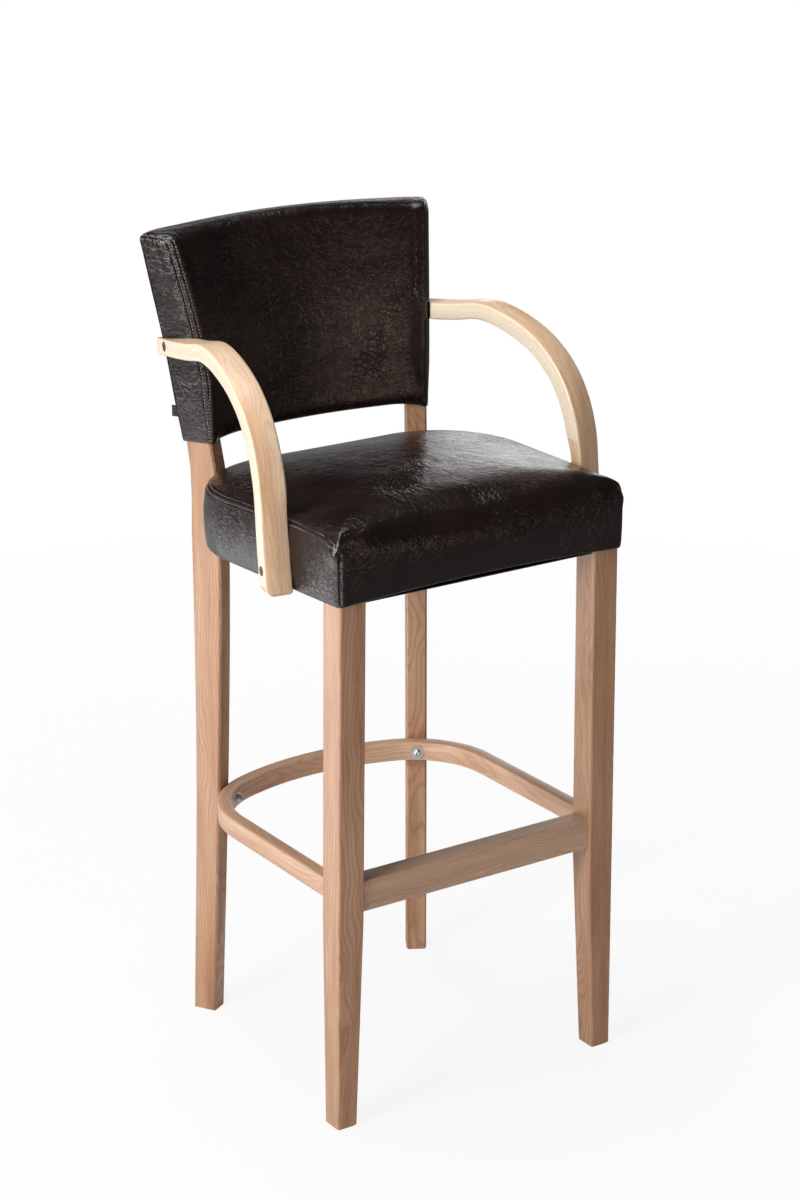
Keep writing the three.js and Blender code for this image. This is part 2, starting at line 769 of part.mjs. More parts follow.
// The seat's skin, drawn at a depth below the outside of the cover; hidden skins take fewer rings
function seatBody(depth) {
  const high = seatSideHigh;
  const [waistShare, upperShare, seamShare, edgeShare] = seatSideShares;
  const [rollShare, rimShare, broadShare, nearShare] = seatCrownShares;
  const [broadShrink, nearShrink, middleShrink] = seatShrinkShares;
  const shoulder = depth + seatShoulderIn;
  const top = high - depth;
  const rings = [
    seatRing(depth + seatArchZone + edgeEase, depth, 0, 0),
    seatRing(depth + edgeEase, depth, 1, 0),
    seatRing(depth, depth + edgeEase, 1, 0),
    seatRing(depth + seatDrawnIn, high * waistShare, 1 / 2, 0),
  ];
  if (depth <= 0) {
    rings.push(seatRing(depth + seatDrawnIn / 2, high * upperShare, 0, 1 / 2));
  }
  rings.push(seatRing(depth, high * seamShare, 0, 1));
  if (depth <= 0) {
    rings.push(seatRing(depth + edgeEase, high * edgeShare, 0, 1));
  }
  rings.push(seatRing(depth + seatEdgeIn, high + edgeEase - depth / 2, 0, 1));
  if (depth <= 0) {
    rings.push(seatRing(depth + seatRollIn, top + seatCrown * rollShare, 0, 1));
    rings.push(seatRing(shoulder, top + seatCrown * rimShare, 0, 1));
  }
  rings.push(seatRing(shoulder, top + seatCrown * broadShare, 0, 1, broadShrink));
  if (depth <= 0) {
    rings.push(seatRing(shoulder, top + seatCrown * nearShare, 0, 1, nearShrink));
  }
  rings.push(seatRing(shoulder, top + seatCrown, 0, 1, middleShrink));
  return loft(rings);
}

function seatSlab(inset, low, high) {
  return loft([seatRing(inset, low - seatBottom, 0, 0), seatRing(inset, high - seatBottom, 0, 0)]);
}

const seatFrameInset = coverThick + seatDrawnIn + gap;
const seatFrameBottom = seatBottom + coverThick + gap;
const seatBoardBottom = legTopHeight + gap;
const seatFoamBottom = seatBoardBottom + seatBoardThick + gap;

function seatCover() {
  const opening = seatSlab(hemWide, seatBottom - overrun, seatBottom + overrun + seatFrontArch);
  const legTool = frontLegTool(gap);
  const bolts = [frameBoltHole(), armBoltFrontHole()];
  return cut(
    seatBody(0), seatBody(coverThick), opening, legTool, mirrored(legTool), ...bolts, ...bolts.map(mirrored),
  );
}

function seatFoam() {
  const below = seatSlab(-overrun, seatBottom - overrun, seatFoamBottom);
  return cut(seatBody(coverThick + gap), below);
}

function seatBoard() {
  return seatSlab(seatFrameInset + edgeEase, seatBoardBottom, seatBoardBottom + seatBoardThick);
}

function dustCover() {
  const low = seatBottom - gap - dustCoverThick;
  const sheet = seatSlab(hemWide / 2, low, low + dustCoverThick);
  const legTool = frontLegTool(gap);
  return cut(sheet, legTool, mirrored(legTool));
}

// The seat frame is one D-shaped wall, parted where its rails meet
function seatWall() {
  const outside = seatSlab(seatFrameInset, seatFrameBottom, legTopHeight);
  const inside = seatSlab(seatFrameInset + seatRailThick, seatBottom - overrun, legTopHeight + overrun);
  const legTool = frontLegTool(gap);
  return cut(outside, inside, legTool, mirrored(legTool));
}

const sideRailFront = frontLegRear(legTopHeight) + gap;
const frontRailInside = -seatFront + seatFrameInset + seatRailThick;

function betweenY(front, rear, left, right) {
  return boxBetween(
    new THREE.Vector3(left, front, seatBottom - overrun),
    new THREE.Vector3(right, rear, legTopHeight + overrun),
  );
}

function seatSideRail() {
  const zone = betweenY(sideRailFront, seatHeelY, 0, seatFront + overrun);
  return cut(common(seatWall(), zone), armBoltFrontHole());
}

function seatRearRail() {
  const wide = seatFront + overrun;
  const zone = betweenY(seatHeelY + gap, seatFront + overrun, -wide, wide);
  const tools = [frameBoltHole(), frameSpotFace()];
  return cut(common(seatWall(), zone), ...tools, ...tools.map(mirrored));
}

// The front rail runs between the legs, and its lower edge arches like the cover over it
function seatFrontRail() {
  const half = frontLegInner(legTopHeight) - gap;
  const low = seatFrameBottom;
  const shape = new THREE.Shape();
  const steps = 10;
  shape.moveTo(half, legTopHeight);
  shape.lineTo(-half, legTopHeight);
  for (let i = 0; i <= steps; i += 1) {
    const x = THREE.MathUtils.lerp(-half, half, i / steps);
    shape.lineTo(x, low + seatArch(x, -seatFront) + gap);
  }
  const rail = new THREE.ExtrudeGeometry(shape, { depth: seatRailThick, bevelEnabled: false });
  return rail.rotateX(Math.PI / 2).translate(0, frontRailInside, 0);
}

function cornerBlock() {
  const wall = frontRailInside + gap;
  const legInner = frontLegInner(legTopHeight) - 2 * gap;
  const legRear = frontLegRear(seatFrameBottom) + gap;
  const side = seatFrontHalf - seatFrameInset - seatRailThick - gap;
  const shape = new THREE.Shape([
    new THREE.Vector2(legInner - cornerBlockLong, wall),
    new THREE.Vector2(legInner, wall),
    new THREE.Vector2(legInner, legRear),
    new THREE.Vector2(side, legRear),
    new THREE.Vector2(side, legRear + cornerBlockLong),
    new THREE.Vector2(side - legArris, legRear + cornerBlockLong),
    new THREE.Vector2(legInner - cornerBlockLong, wall + legArris),
  ]);
  const low = seatFrameBottom + seatFrontArch + edgeEase;
  const block = new THREE.ExtrudeGeometry(shape, { depth: legTopHeight - low, bevelEnabled: false });
  return block.translate(0, 0, low);
}

const frameBoltSide = rearLegMiddleOut - seatHeelPlace.dot(legOut);
const frameInnerRadius = seatHeelRadius - seatFrameInset - seatRailThick;
const frameInnerFace = seatHeelPlace.dot(legBack) + Math.sqrt(frameInnerRadius ** 2 - frameBoltSide ** 2);

const frameSpotFloor = frameInnerFace + spotFaceDeep;

function frameSpotFace() {
  const start = legPlace(frameSpotFloor - overrun, rearLegMiddleOut, frameBoltHeight);
  return rod(start, legBack, overrun, frameBoltHeadAcross / 2 + 2 * gap);
}

function frameBoltHole() {
  const start = legPlace(frameInnerFace - overrun, rearLegMiddleOut, frameBoltHeight);
  const long = rearLegWaist + frameBoltReach - frameInnerFace + overrun + gap;
  return rod(start, legBack, long, frameBoltAcross / 2 + gap);
}

function frameBolt() {
  const seat = frameSpotFloor - gap;
  return socketBolt(seat, rearLegMiddleOut, frameBoltHeight, {
    across: frameBoltAcross,
    headAcross: frameBoltHeadAcross,
    headHigh: frameBoltHeadHigh,
    socketAcross: ringBoltSocketAcross,
    socketDeep: ringBoltSocketDeep,
    reach: rearLegWaist - seat + frameBoltReach,
  });
}

// Arms: directions along the arm's plane and square to it
const armBack = new THREE.Vector3(-Math.sin(armToe), Math.cos(armToe), 0);
const armOut = new THREE.Vector3(Math.cos(armToe), Math.sin(armToe), 0);
const armIn = armOut.clone().negate();

// A place on the arm, from a Y position, a height and a distance out from the arm's middle plane
function armPlace(y, height, out) {
  const along = y / Math.cos(armToe);
  return new THREE.Vector3(armMidX, 0, height).addScaledVector(armBack, along).addScaledVector(armOut, out);
}

function armCurve() {
  const long = armRearEnd + armFrontEnd;
  const points = armLineShares.map(([reach, rise]) => new THREE.Vector3(
    (reach * long - armFrontEnd) / Math.cos(armToe), armFootHeight + rise * armRise, 0,
  ));
  return new THREE.CatmullRomCurve3(points, false, "centripetal");
}

function armBody() {
  const curve = armCurve();
  const upper = [];
  const lower = [];
  const half = armThick / 2 - armEase;
  for (let i = 0; i <= armSteps; i += 1) {
    const place = curve.getPointAt(i / armSteps);
    const tangent = curve.getTangentAt(i / armSteps);
    const normal = new THREE.Vector2(-tangent.y, tangent.x);
    const rest = i === 0 || i === armSteps ? armEase : 0;
    const inward = i === 0 ? rest : -rest;
    const centre = new THREE.Vector2(place.x + tangent.x * inward, place.y + tangent.y * inward);
    upper.push(centre.clone().addScaledVector(normal, half));
    lower.push(centre.clone().addScaledVector(normal, -half));
  }
  const shape = new THREE.Shape(lower.concat(upper.reverse()));
  const body = new THREE.ExtrudeGeometry(shape, {
    depth: armWide - 2 * armEase,
    bevelEnabled: true,
    bevelSize: armEase,
    bevelThickness: armEase,
    bevelSegments: 1,
  });
  const axes = new THREE.Matrix4().makeBasis(armBack, new THREE.Vector3(0, 0, 1), armOut);
  const start = armPlace(0, 0, armEase - armWide / 2);
  return body.applyMatrix4(axes).translate(start.x, start.y, start.z);
}

// Rounds the lower outside corner of the arm's foot
function armFootRounding() {
  const out = armWide / 2;
  const shape = new THREE.Shape();
  shape.moveTo(out - armFootRound, armFootHeight);
  shape.absarc(out - armFootRound, armFootHeight + armFootRound, armFootRound, -Math.PI / 2, 0, false);
  shape.lineTo(out + overrun, armFootHeight + armFootRound);
  shape.lineTo(out + overrun, armFootHeight - overrun);
  shape.lineTo(out - armFootRound, armFootHeight - overrun);
  const long = 2 * armThick + 2 * overrun;
  const tool = new THREE.ExtrudeGeometry(shape, { depth: long, bevelEnabled: false, curveSegments: 5 });
  const axes = new THREE.Matrix4().makeBasis(armOut, new THREE.Vector3(0, 0, 1), armBack.clone().negate());
  const start = armPlace(armThick + overrun - armFrontEnd, 0, 0);
  return tool.applyMatrix4(axes).translate(start.x, start.y, start.z);
}

// Cuts the rear end to lie on the back's boxing and keeps a thin tip behind it
function armRearSlope() {
  const planeOut = rearLegPlaneOut + coverThick + gap;
  const near = legPlace(0, planeOut, 0);
  const tip = armPlace(armRearEnd + overrun, 0, armWide / 2 - armTipThick);
  const tipStart = armPlace(0, 0, armWide / 2 - armTipThick);
  const meet = lineMeeting(near, legBack, tipStart, armBack);
  const inside = legPlace(0, planeOut - 2 * armWide, 0);
  const shape = new THREE.Shape([
    new THREE.Vector2(near.x, near.y),
    new THREE.Vector2(meet.x, meet.y),
    new THREE.Vector2(tip.x, tip.y),
    new THREE.Vector2(tip.x - 3 * armWide, tip.y),
    new THREE.Vector2(inside.x, inside.y),
  ]);
  const low = armFootHeight + armRise / 2;
  const tool = new THREE.ExtrudeGeometry(shape, { depth: armRise, bevelEnabled: false });
  return tool.translate(0, 0, low);
}

// Where two flat lines cross, each given by a place and a direction
function lineMeeting(placeA, directionA, placeB, directionB) {
  const across = directionA.x * directionB.y - directionA.y * directionB.x;
  const offset = new THREE.Vector3().subVectors(placeB, placeA);
  const along = (offset.x * directionB.y - offset.y * directionB.x) / across;
  return placeA.clone().addScaledVector(directionA, along);
}

// Planes the arm's foot to lie on the seat's side
function armFootSlope() {
  return seatSlab(-gap, armFootHeight - overrun, seatBottom + seatSideHigh + seatCrown);
}

function arm() {
  const holes = [armBoltRearHole(), armBoltRearCounter(), armBoltFrontHole(), armBoltFrontCounter()];
  return cut(armBody(), armFootRounding(), armRearSlope(), armFootSlope(), backBody(-gap), ...holes);
}

// Arm bolts, from the arm's outer face inwards
function armFacePlace(y, height, depth) {
  return armPlace(y, height, armWide / 2 - depth);
}

function armHole(y, height, reach) {
  return rod(armFacePlace(y, height, -overrun), armIn, reach + overrun + gap, armBoltAcross / 2 + gap);
}

function armBoltRearHole() {
  const reach = armBoltRearCounterbore + armBoltHeadHigh + armBoltRearReach;
  return armHole(armBoltRearY, armBoltRearHeight, reach);
}

function armBoltFrontHole() {
  const reach = armBoltFrontCounterbore + armBoltHeadHigh + armBoltFrontReach;
  return armHole(-armBoltFrontY, armBoltFrontHeight, reach);
}

function armCounter(y, height, deep) {
  const start = armFacePlace(y, height, -overrun);
  return rod(start, armIn, overrun + deep, armCapAcross / 2 + gap);
}

function armBoltRearCounter() {
  return armCounter(armBoltRearY, armBoltRearHeight, armBoltRearCounterbore + armBoltHeadHigh);
}

function armBoltFrontCounter() {
  return armCounter(-armBoltFrontY, armBoltFrontHeight, armBoltFrontCounterbore + armBoltHeadHigh);
}

function armBolt(y, height, deep, reach) {
  const head = armBoltHeadAcross / 2;
  const shank = armBoltAcross / 2;
  const ease = armBoltHeadHigh / 5;
  const headEnd = armBoltHeadHigh - gap;
  const profile = [
    [0, 0], [head - ease, 0], [head, ease], [head, headEnd], [shank, headEnd],
    [shank, headEnd + reach], [0, headEnd + reach],
  ];
  return turned(profile, armFacePlace(y, height, deep), armIn);
}

function armBoltRear() {
  return armBolt(armBoltRearY, armBoltRearHeight, armBoltRearCounterbore, armBoltRearReach);
}

function armBoltFront() {
  return armBolt(-armBoltFrontY, armBoltFrontHeight, armBoltFrontCounterbore, armBoltFrontReach);
}

function armCap(y, height) {
  const radius = armCapAcross / 2;
  const ease = armCapThick / 4;
  const profile = [
    [0, 0], [radius - ease, 0], [radius, ease], [radius, armCapThick], [0, armCapThick],
  ];
  return turned(profile, armFacePlace(y, height, armCapSunk), armIn);
}

// Back cushion: plan sections at any height, drawn at a depth below the outside of the cover

function backPadding(height) {
  const rise = THREE.MathUtils.clamp((height - backBottom) / (backTop - backBottom), 0, 1);
  return coverThick + gap + backPad * Math.min(rise / backPadRiseShare, 1);
}

// The corner of one plan section, from its front edge round the boxing to the leg's inner rear corner
function backCorner(height, depth, roll) {
  const level = Math.min(height, rearLegHeight);
  const above = height - level;
  const lean = above * (rearLegFront(level) - rearLegFront(level - legStation)) / legStation;
  const rise = backRise(height);
  const inset = depth + roll;
  const front = rearLegFront(level) + lean - backPadding(level) + inset;
  const rear = rearLegRear(level) + lean + coverThick + gap + backRearSlack - inset;
  const out = rearLegPlaneOut + (coverThick + gap) * (1 + rise) - depth - roll / 2;
  const full = backSideFull * Math.min(rise / backFullRiseShare, 1);
  const soft = backCornerSoft;
  const softPlace = (from) => ([backShare, inShare]) => {
    return legPlace(from + soft * backShare, out - soft * inShare, height);
  };
  return [
    ...backCornerFrontShares.map(softPlace(front)),
    legPlace(front + (rear - front) * backFullestShare, out + full, height),
    ...backCornerRearShares.map(softPlace(rear)),
    legPlace(rear, rearLegPlaneOut - rearLegPlank, height),
  ];
}

function backRise(height) {
  return THREE.MathUtils.clamp((height - backBottom) / (backTop - backBottom), 0, 1);
}

// The rear surface from the leg's inner rear corner to the middle
function backRearLine(corner, share) {
  const last = corner[corner.length - 1];
  return new THREE.Vector3(last.x * share, last.y + backRearBow * (1 - share ** 2), last.z);
}

// A half outline from the middle of one face to the middle of the other, made whole
function bothSides(half) {
  const other = half.slice(1, -1).reverse();
  return half.concat(other.map((point) => new THREE.Vector3(-point.x, point.y, point.z)));
}

function backSection(height, depth, roll) {
  const corner = backCorner(height, depth, roll);
  const rise = backRise(height);
  const first = corner[0];
  const bow = backBow * (backBowLowShare + backBowRiseShare * rise);
  const half = backFrontShares
    .map((share) => new THREE.Vector3(first.x * share, first.y + bow * (1 - share ** 2), height))
    .concat(corner, backRearShares.map((share) => backRearLine(corner, share)));
  const lift = backPanelLift * Math.max(1 - rise / backLiftRiseShare, 0);
  const legInner = corner[corner.length - 1].x;
  for (const point of half) {
    const share = point.x / first.x;
    const arch = Math.max(1 - share ** 2, 0);
    point.z += backCrest * rise ** 4 * arch + (point.x < legInner - edgeEase ? lift : 0);
  }
  return bothSides(half);
}

function backBody(depth) {
  const levels = stationsBetween(backBottom + depth, rearLegHeight);
  const rings = levels.map((height) => backSection(height, depth, 0));
  const rolled = backTopDrop.map((drop, i) => backSection(backTop - drop - depth, depth, backTopRoll[i]));
  return loft(rings.concat(rolled));
}

// The openings through which the posts enter the cover
function sleeveOpening() {
  const wide = 2 * seatFront;
  const floor = new THREE.Vector3(0, 0, backBottom - overrun);
  const zone = boxBetween(floor, new THREE.Vector3(wide, wide, backBottom + backPanelLift + 2 * coverThick));
  return common(rearLegPlankBody(0, gap, 0), zone);
}

function backCover() {
  const sleeve = sleeveOpening();
  const bolt = armBoltRearHole();
  return cut(backBody(0), backBody(coverThick), sleeve, mirrored(sleeve), bolt, mirrored(bolt));
}

// A curved plank inside the back, between two heights and two depths in front of the rear surface
function backBand(low, high, nearRear, thick) {
  const shares = [1, ...backRearShares];
  const rings = stationsBetween(low, high).map((height) => {
    const corner = backCorner(height, coverThick + gap, 0);
    const behind = new THREE.Vector3(0, -nearRear, 0);
    const ahead = new THREE.Vector3(0, -nearRear - thick, 0);
    const rearLine = shares.map((share) => backRearLine(corner, share).add(behind));
    const frontLine = shares.map((share) => backRearLine(corner, share).add(ahead)).reverse();
    return bothSides(frontLine.concat(rearLine));
  });
  return loft(rings);
}

// Everything outside the inner face of one rear leg, as a tool
function outsideLeg() {
  const tool = rearLegPlankBody(0, gap, rearLegSweep);
  const front = legPlace(0, rearLegPlaneOut - rearLegPlank - gap, backBottom - overrun);
  const blockBack = seatFront + seatFrontHalf;
  const shape = new THREE.Shape([
    new THREE.Vector2(0, 0),
    new THREE.Vector2(blockBack, 0),
    new THREE.Vector2(blockBack, seatFront),
    new THREE.Vector2(0, seatFront),
  ]);
  const block = new THREE.ExtrudeGeometry(shape, { depth: rearLegHeight, bevelEnabled: false });
  const axes = new THREE.Matrix4().makeBasis(legBack, legOut.clone(), new THREE.Vector3(0, 0, -1));
  block.applyMatrix4(axes).translate(front.x, front.y, backBottom + rearLegHeight);
  return join(tool, block);
}

const backRailBottomLow = backBottom + backPanelLift + coverThick + 2 * gap;
const backBoardNear = backWadding + backRailThick + gap;
const backPocketThick = backBoardNear + backBoardThick + gap;

function backRail(low) {
  const band = backBand(low, low + backRailHigh, backWadding, backRailThick);
  const tool = outsideLeg();
  return cut(band, tool, mirrored(tool));
}

function backBoard() {
  const band = backBand(backRailBottomLow, backRailTopLow + backRailHigh, backBoardNear, backBoardThick);
  const tool = outsideLeg();
  return cut(band, tool, mirrored(tool));
}

function backFoam() {
  const behind = 2 * overrun;
  const low = backBottom - overrun;
  const pocket = backBand(low, rearLegHeight + gap, -behind, backPocketThick + behind);
  const post = rearLegPlankBody(0, gap, overrun);
  return cut(backBody(coverThick + 2 * gap), pocket, post, mirrored(post));
}

function backTab() {
  const rear = rearLegRear(tabHeight + tabHigh / 2) + coverThick + backRearSlack + 2 * gap;
  const out = rearLegPlaneOut - 2 * edgeEase;
  const tab = new THREE.BoxGeometry(tabThick, tabWide, tabHigh);
  const axes = new THREE.Matrix4().makeBasis(legOut, legBack, new THREE.Vector3(0, 0, 1));
  const middle = legPlace(rear + tabWide / 2, out, tabHeight);
  return mirrored(tab.applyMatrix4(axes).translate(middle.x, middle.y, middle.z));
}

// The object

const group = new THREE.Group();
group.name = "bar_stool_with_arms";

function add(name, geometry, material) {
  const plain = geometry.clone();
  plain.deleteAttribute("normal");
  plain.deleteAttribute("uv");
  const welded = mergeVertices(plain, weld);
  welded.computeVertexNormals();
  const mesh = new THREE.Mesh(welded, material);
  mesh.name = name;
  group.add(mesh);
}

function addPair(name, geometry, material) {
  add(`${name}_right`, geometry, material());
  add(`${name}_left`, mirrored(geometry), material());
}

addPair("front_leg", frontLeg(), wood);
addPair("rear_leg", rearLeg(), wood);
add("footrest_rail", footrestRail(), wood());
add("foot_ring", footRing(), wood());
addPair("foot_ring_bolt", ringBolt(), zinc);
addPair("foot_ring_washer", ringWasher(), zinc);

add("seat_rail_front", seatFrontRail(), framePine());
addPair("seat_rail", seatSideRail(), framePine);
add("seat_rail_rear", seatRearRail(), framePine());
addPair("seat_corner_block", cornerBlock(), framePine);
addPair("seat_frame_bolt", frameBolt(), zinc);
add("seat_board", seatBoard(), framePine());
add("seat_foam", seatFoam(), foam());
add("seat_cover", seatCover(), leather());
add("seat_dust_cover", dustCover(), blackCloth());

addPair("arm", arm(), wood);
addPair("arm_bolt_rear", armBoltRear(), zinc);
addPair("arm_bolt_front", armBoltFront(), zinc);
addPair("arm_cap_rear", armCap(armBoltRearY, armBoltRearHeight), brownCap);
addPair("arm_cap_front", armCap(-armBoltFrontY, armBoltFrontHeight), brownCap);

add("back_rail_top", backRail(backRailTopLow), framePine());
add("back_rail_bottom", backRail(backRailBottomLow), framePine());
add("back_board", backBoard(), framePine());
add("back_foam", backFoam(), foam());
add("back_cover", backCover(), leather());
add("back_tab", backTab(), blackCloth());

// The frame's origin is the middle of the footprint on the floor
const box = new THREE.Box3().setFromObject(group);
const middle = box.getCenter(new THREE.Vector3());
for (const mesh of group.children) {
  mesh.geometry.translate(0, -middle.y, 0);
}

export default group;
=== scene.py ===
import json
import math

import bpy
from mathutils import Matrix, Quaternion, Vector, noise
from mathutils.kdtree import KDTree


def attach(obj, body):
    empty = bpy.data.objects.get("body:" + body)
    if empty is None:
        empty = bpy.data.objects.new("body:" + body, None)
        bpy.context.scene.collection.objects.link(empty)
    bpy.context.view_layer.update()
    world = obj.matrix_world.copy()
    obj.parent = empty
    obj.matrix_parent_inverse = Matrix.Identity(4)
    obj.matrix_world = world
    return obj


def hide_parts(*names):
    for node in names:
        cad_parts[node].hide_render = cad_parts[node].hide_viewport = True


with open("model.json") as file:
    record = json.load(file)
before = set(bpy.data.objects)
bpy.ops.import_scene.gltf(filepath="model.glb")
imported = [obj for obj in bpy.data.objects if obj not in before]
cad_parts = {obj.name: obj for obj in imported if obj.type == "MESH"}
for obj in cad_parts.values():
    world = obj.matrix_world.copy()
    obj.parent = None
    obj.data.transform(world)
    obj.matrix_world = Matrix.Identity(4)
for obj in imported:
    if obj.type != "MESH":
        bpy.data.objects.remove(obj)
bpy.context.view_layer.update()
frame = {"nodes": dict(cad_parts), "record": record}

# Lengths are in millimetres here and become metres when a mesh is made
MM = 0.001
SHIFT_Y = -10.768
UP = Vector((0, 0, 1))

# Rear legs, where the back cushion lies on them, with sweep and depth at shares of their height
LEG_TURN = math.radians(31)
LEG_PLANK = 28.6
LEG_PLANE_OUT = 69.2
LEG_HEIGHT = 1066.0
LEG_WAIST = 202.0
LEG_SWEEP = 72.0
LEG_DEEPEST = 43.4
LEG_FRONT_SHARES = [
    (0, 0.37), (0.305, 0.15), (0.52, 0.035), (0.66, 0), (0.72, 0.035), (0.764, 0.14),
    (0.804, 0.24), (0.86, 0.365), (0.904, 0.49), (0.96, 0.72), (1, 0.9),
]
LEG_DEPTH_SHARES = [
    (0, 0.74), (0.32, 0.83), (0.6, 0.97), (0.66, 0.98), (0.72, 0.9), (0.764, 0.84),
    (0.83, 0.88), (0.904, 0.9), (0.96, 0.84), (1, 0.76),
]
LEG_BACK = Vector((math.sin(LEG_TURN), math.cos(LEG_TURN), 0))
LEG_OUT = Vector((math.cos(LEG_TURN), -math.sin(LEG_TURN), 0))


# Curves and places


def hermite(start, slope_in, end, slope_out, t):
    squared, cubed = t ** 2, t ** 3
    return (
        (2 * cubed - 3 * squared + 1) * start + (cubed - 2 * squared + t) * slope_in
        + (3 * squared - 2 * cubed) * end + (cubed - squared) * slope_out
    )


def smooth(table, place):
    """The value at a place on a smooth curve through the table's (place, value) pairs."""
    index = 0
    while index < len(table) - 2 and place > table[index + 1][0]:
        index += 1
    before = table[max(index - 1, 0)]
    start = table[index]
    end = table[index + 1]
    after = table[min(index + 2, len(table) - 1)]
    span = end[0] - start[0]
    local = min(max((place - start[0]) / span, 0), 1)
    slope_in = (end[1] - before[1]) / (end[0] - before[0]) * span
    slope_out = (after[1] - start[1]) / (after[0] - start[0]) * span
    return hermite(start[1], slope_in, end[1], slope_out, local)


def lerp(a, b, share):
    return a + (b - a) * share


def lerp_color(first, second, share):
    return tuple(lerp(a, b, share) for a, b in zip(first, second))


def clamp(value, low=0.0, high=1.0):
    return min(max(value, low), high)


def ease(value):
    value = clamp(value)
    return value * value * (3 - 2 * value)


def mirrored(point):
    return Vector((-point.x, point.y, point.z))


def leg_front(height):
    return LEG_WAIST + LEG_SWEEP * smooth(LEG_FRONT_SHARES, height / LEG_HEIGHT)


def leg_rear(height):
    return leg_front(height) + LEG_DEEPEST * smooth(LEG_DEPTH_SHARES, height / LEG_HEIGHT)


def leg_place(back, out, height):
    return LEG_BACK * back + LEG_OUT * out + Vector((0, 0, height))


def resample(points, pitch):
    """Evenly spaced (place, direction) pairs along a polyline."""
    spaced = []
    walked = 0.0
    wanted = pitch / 2
    for start, end in zip(points, points[1:]):
        length = (end - start).length
        while length > 0 and walked + length >= wanted:
            spaced.append((start.lerp(end, (wanted - walked) / length), (end - start).normalized()))
            wanted += pitch
        walked += length
    return spaced


def round_path(points, passes=3):
    """The path with its corners eased; both ends stay."""
    path = [p.copy() for p in points]
    for _ in range(passes):
        eased = [(before + here * 2 + after) / 4 for before, here, after in zip(path, path[1:], path[2:])]
        path = [path[0]] + eased + [path[-1]]
    return path


def point_tree(points):
    tree = KDTree(len(points))
    for i, point in enumerate(points):
        tree.insert(point, i)
    tree.balance()
    return tree


# Meshes


def metres(point):
    return (point.x * MM, (point.y + SHIFT_Y) * MM, point.z * MM)


def link_object(name, mesh):
    made = bpy.data.objects.new(name, mesh)
    bpy.context.collection.objects.link(made)
    return made


def plain_object(name, places, faces):
    mesh = bpy.data.meshes.new(name)
    mesh.from_pydata(places, [], faces)
    return link_object(name, mesh)


def make_object(name, points, faces, material):
    """A smooth piece of the stool, from points in millimetres."""
    made = plain_object(name, [metres(p) for p in points], faces)
    made.data.validate()
    made.data.update()
    for polygon in made.data.polygons:
        polygon.use_smooth = True
    made.data.materials.append(material)
    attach(made, "root")
    return made


def subdivide(obj):
    modifier = obj.modifiers.new("subdivision", "SUBSURF")
    modifier.levels = 1
    modifier.render_levels = 1


def ring_faces(ring_count, around):
    """The wall between closed rings of points."""
    faces = []
    for ring in range(ring_count - 1):
        a = ring * around
        for i in range(around):
            j = (i + 1) % around
            faces.append((a + i, a + j, a + around + j, a + around + i))
    return faces


def flat_ends(ring_count, around):
    last = (ring_count - 1) * around
    return [tuple(reversed(range(around))), tuple(last + i for i in range(around))]


def turned_over(faces):
    return [face[:1] + face[:0:-1] for face in faces]


def end_faces(ring_count, around):
    """Closes both ends with strips from the front edge to the rear edge, on each side of the middle."""
    faces = []
    half = around // 2
    for start, turned in ((0, True), ((ring_count - 1) * around, False)):
        for first, last in ((0, half), (half, around)):
            for i in range(half // 2):
                corners = []
                for step in (first + i, first + i + 1, last - i - 1, last - i):
                    if start + step % around not in corners:
                        corners.append(start + step % around)
                faces.append(tuple(reversed(corners)) if turned else tuple(corners))
    return faces


def ring_normals(rings):
    """The outward direction at every point of a stack of closed rings."""
    normals = []
    count = len(rings)
    around = len(rings[0])
    for k in range(count):
        up_ring = rings[min(k + 1, count - 1)]
        down_ring = rings[max(k - 1, 0)]
        row = []
        for i in range(around):
            along = rings[k][(i + 1) % around] - rings[k][i - 1]
            normal = along.cross(up_ring[i] - down_ring[i])
            row.append(normal.normalized() if normal.length > 1e-9 else UP)
        normals.append(row)
    return normals


def even_normals(rows, passes=5):
    """Blends each direction with its neighbours, so that sharp corners don't turn any of them over."""
    for _ in range(passes):
        rows = [[row[i - 1] + row[i] * 2 + row[(i + 1) % len(row)] for i in range(len(row))] for row in rows]
        last = len(rows) - 1
        rows = [
            [a + b * 2 + c for a, b, c in zip(rows[max(k - 1, 0)], rows[k], rows[min(k + 1, last)])]
            for k in range(last + 1)
        ]
        rows = [[normal.normalized() for normal in row] for row in rows]
    return rows


def mirrored_half(half):
    return half + [mirrored(p) for p in reversed(half[1:-1])]


def all_points(rings):
    return [point for ring in rings for point in ring]


# Shader nodes


def new_material(name, color, roughness, metallic=0.0):
    material = bpy.data.materials.new(name)
    material.use_nodes = True
    shader = material.node_tree.nodes["Principled BSDF"]
    shader.inputs["Base Color"].default_value = (*color, 1)
    shader.inputs["Roughness"].default_value = roughness
    shader.inputs["Metallic"].default_value = metallic
    return material, material.node_tree, shader


def connect(tree, socket, value):
    """Links the socket to another one, or sets it to a number or color."""
    if hasattr(value, "is_linked"):
        tree.links.new(value, socket)
    else:
        socket.default_value = value


def node(tree, kind, settings=(), **inputs):
    made = tree.nodes.new(kind)
    for key, value in dict(settings).items():
        setattr(made, key, value)
    for key, value in inputs.items():
        connect(tree, made.inputs[key.replace("_", " ")], value)
    return made


def math_node(tree, operation, *values, kind="ShaderNodeMath"):
    made = node(tree, kind, {"operation": operation})
    for socket, value in zip(made.inputs, values):
        connect(tree, socket, value)
    return made.outputs[0]


def times(tree, first, second):
    return math_node(tree, "MULTIPLY", first, second)


def line(tree, value, slope, start):
    """value * slope + start, where each may be a number or a socket."""
    return math_node(tree, "MULTIPLY_ADD", value, slope, start)


def limit(tree, value, low=0.0, high=1.0):
    return math_node(tree, "MINIMUM", math_node(tree, "MAXIMUM", value, low), high)


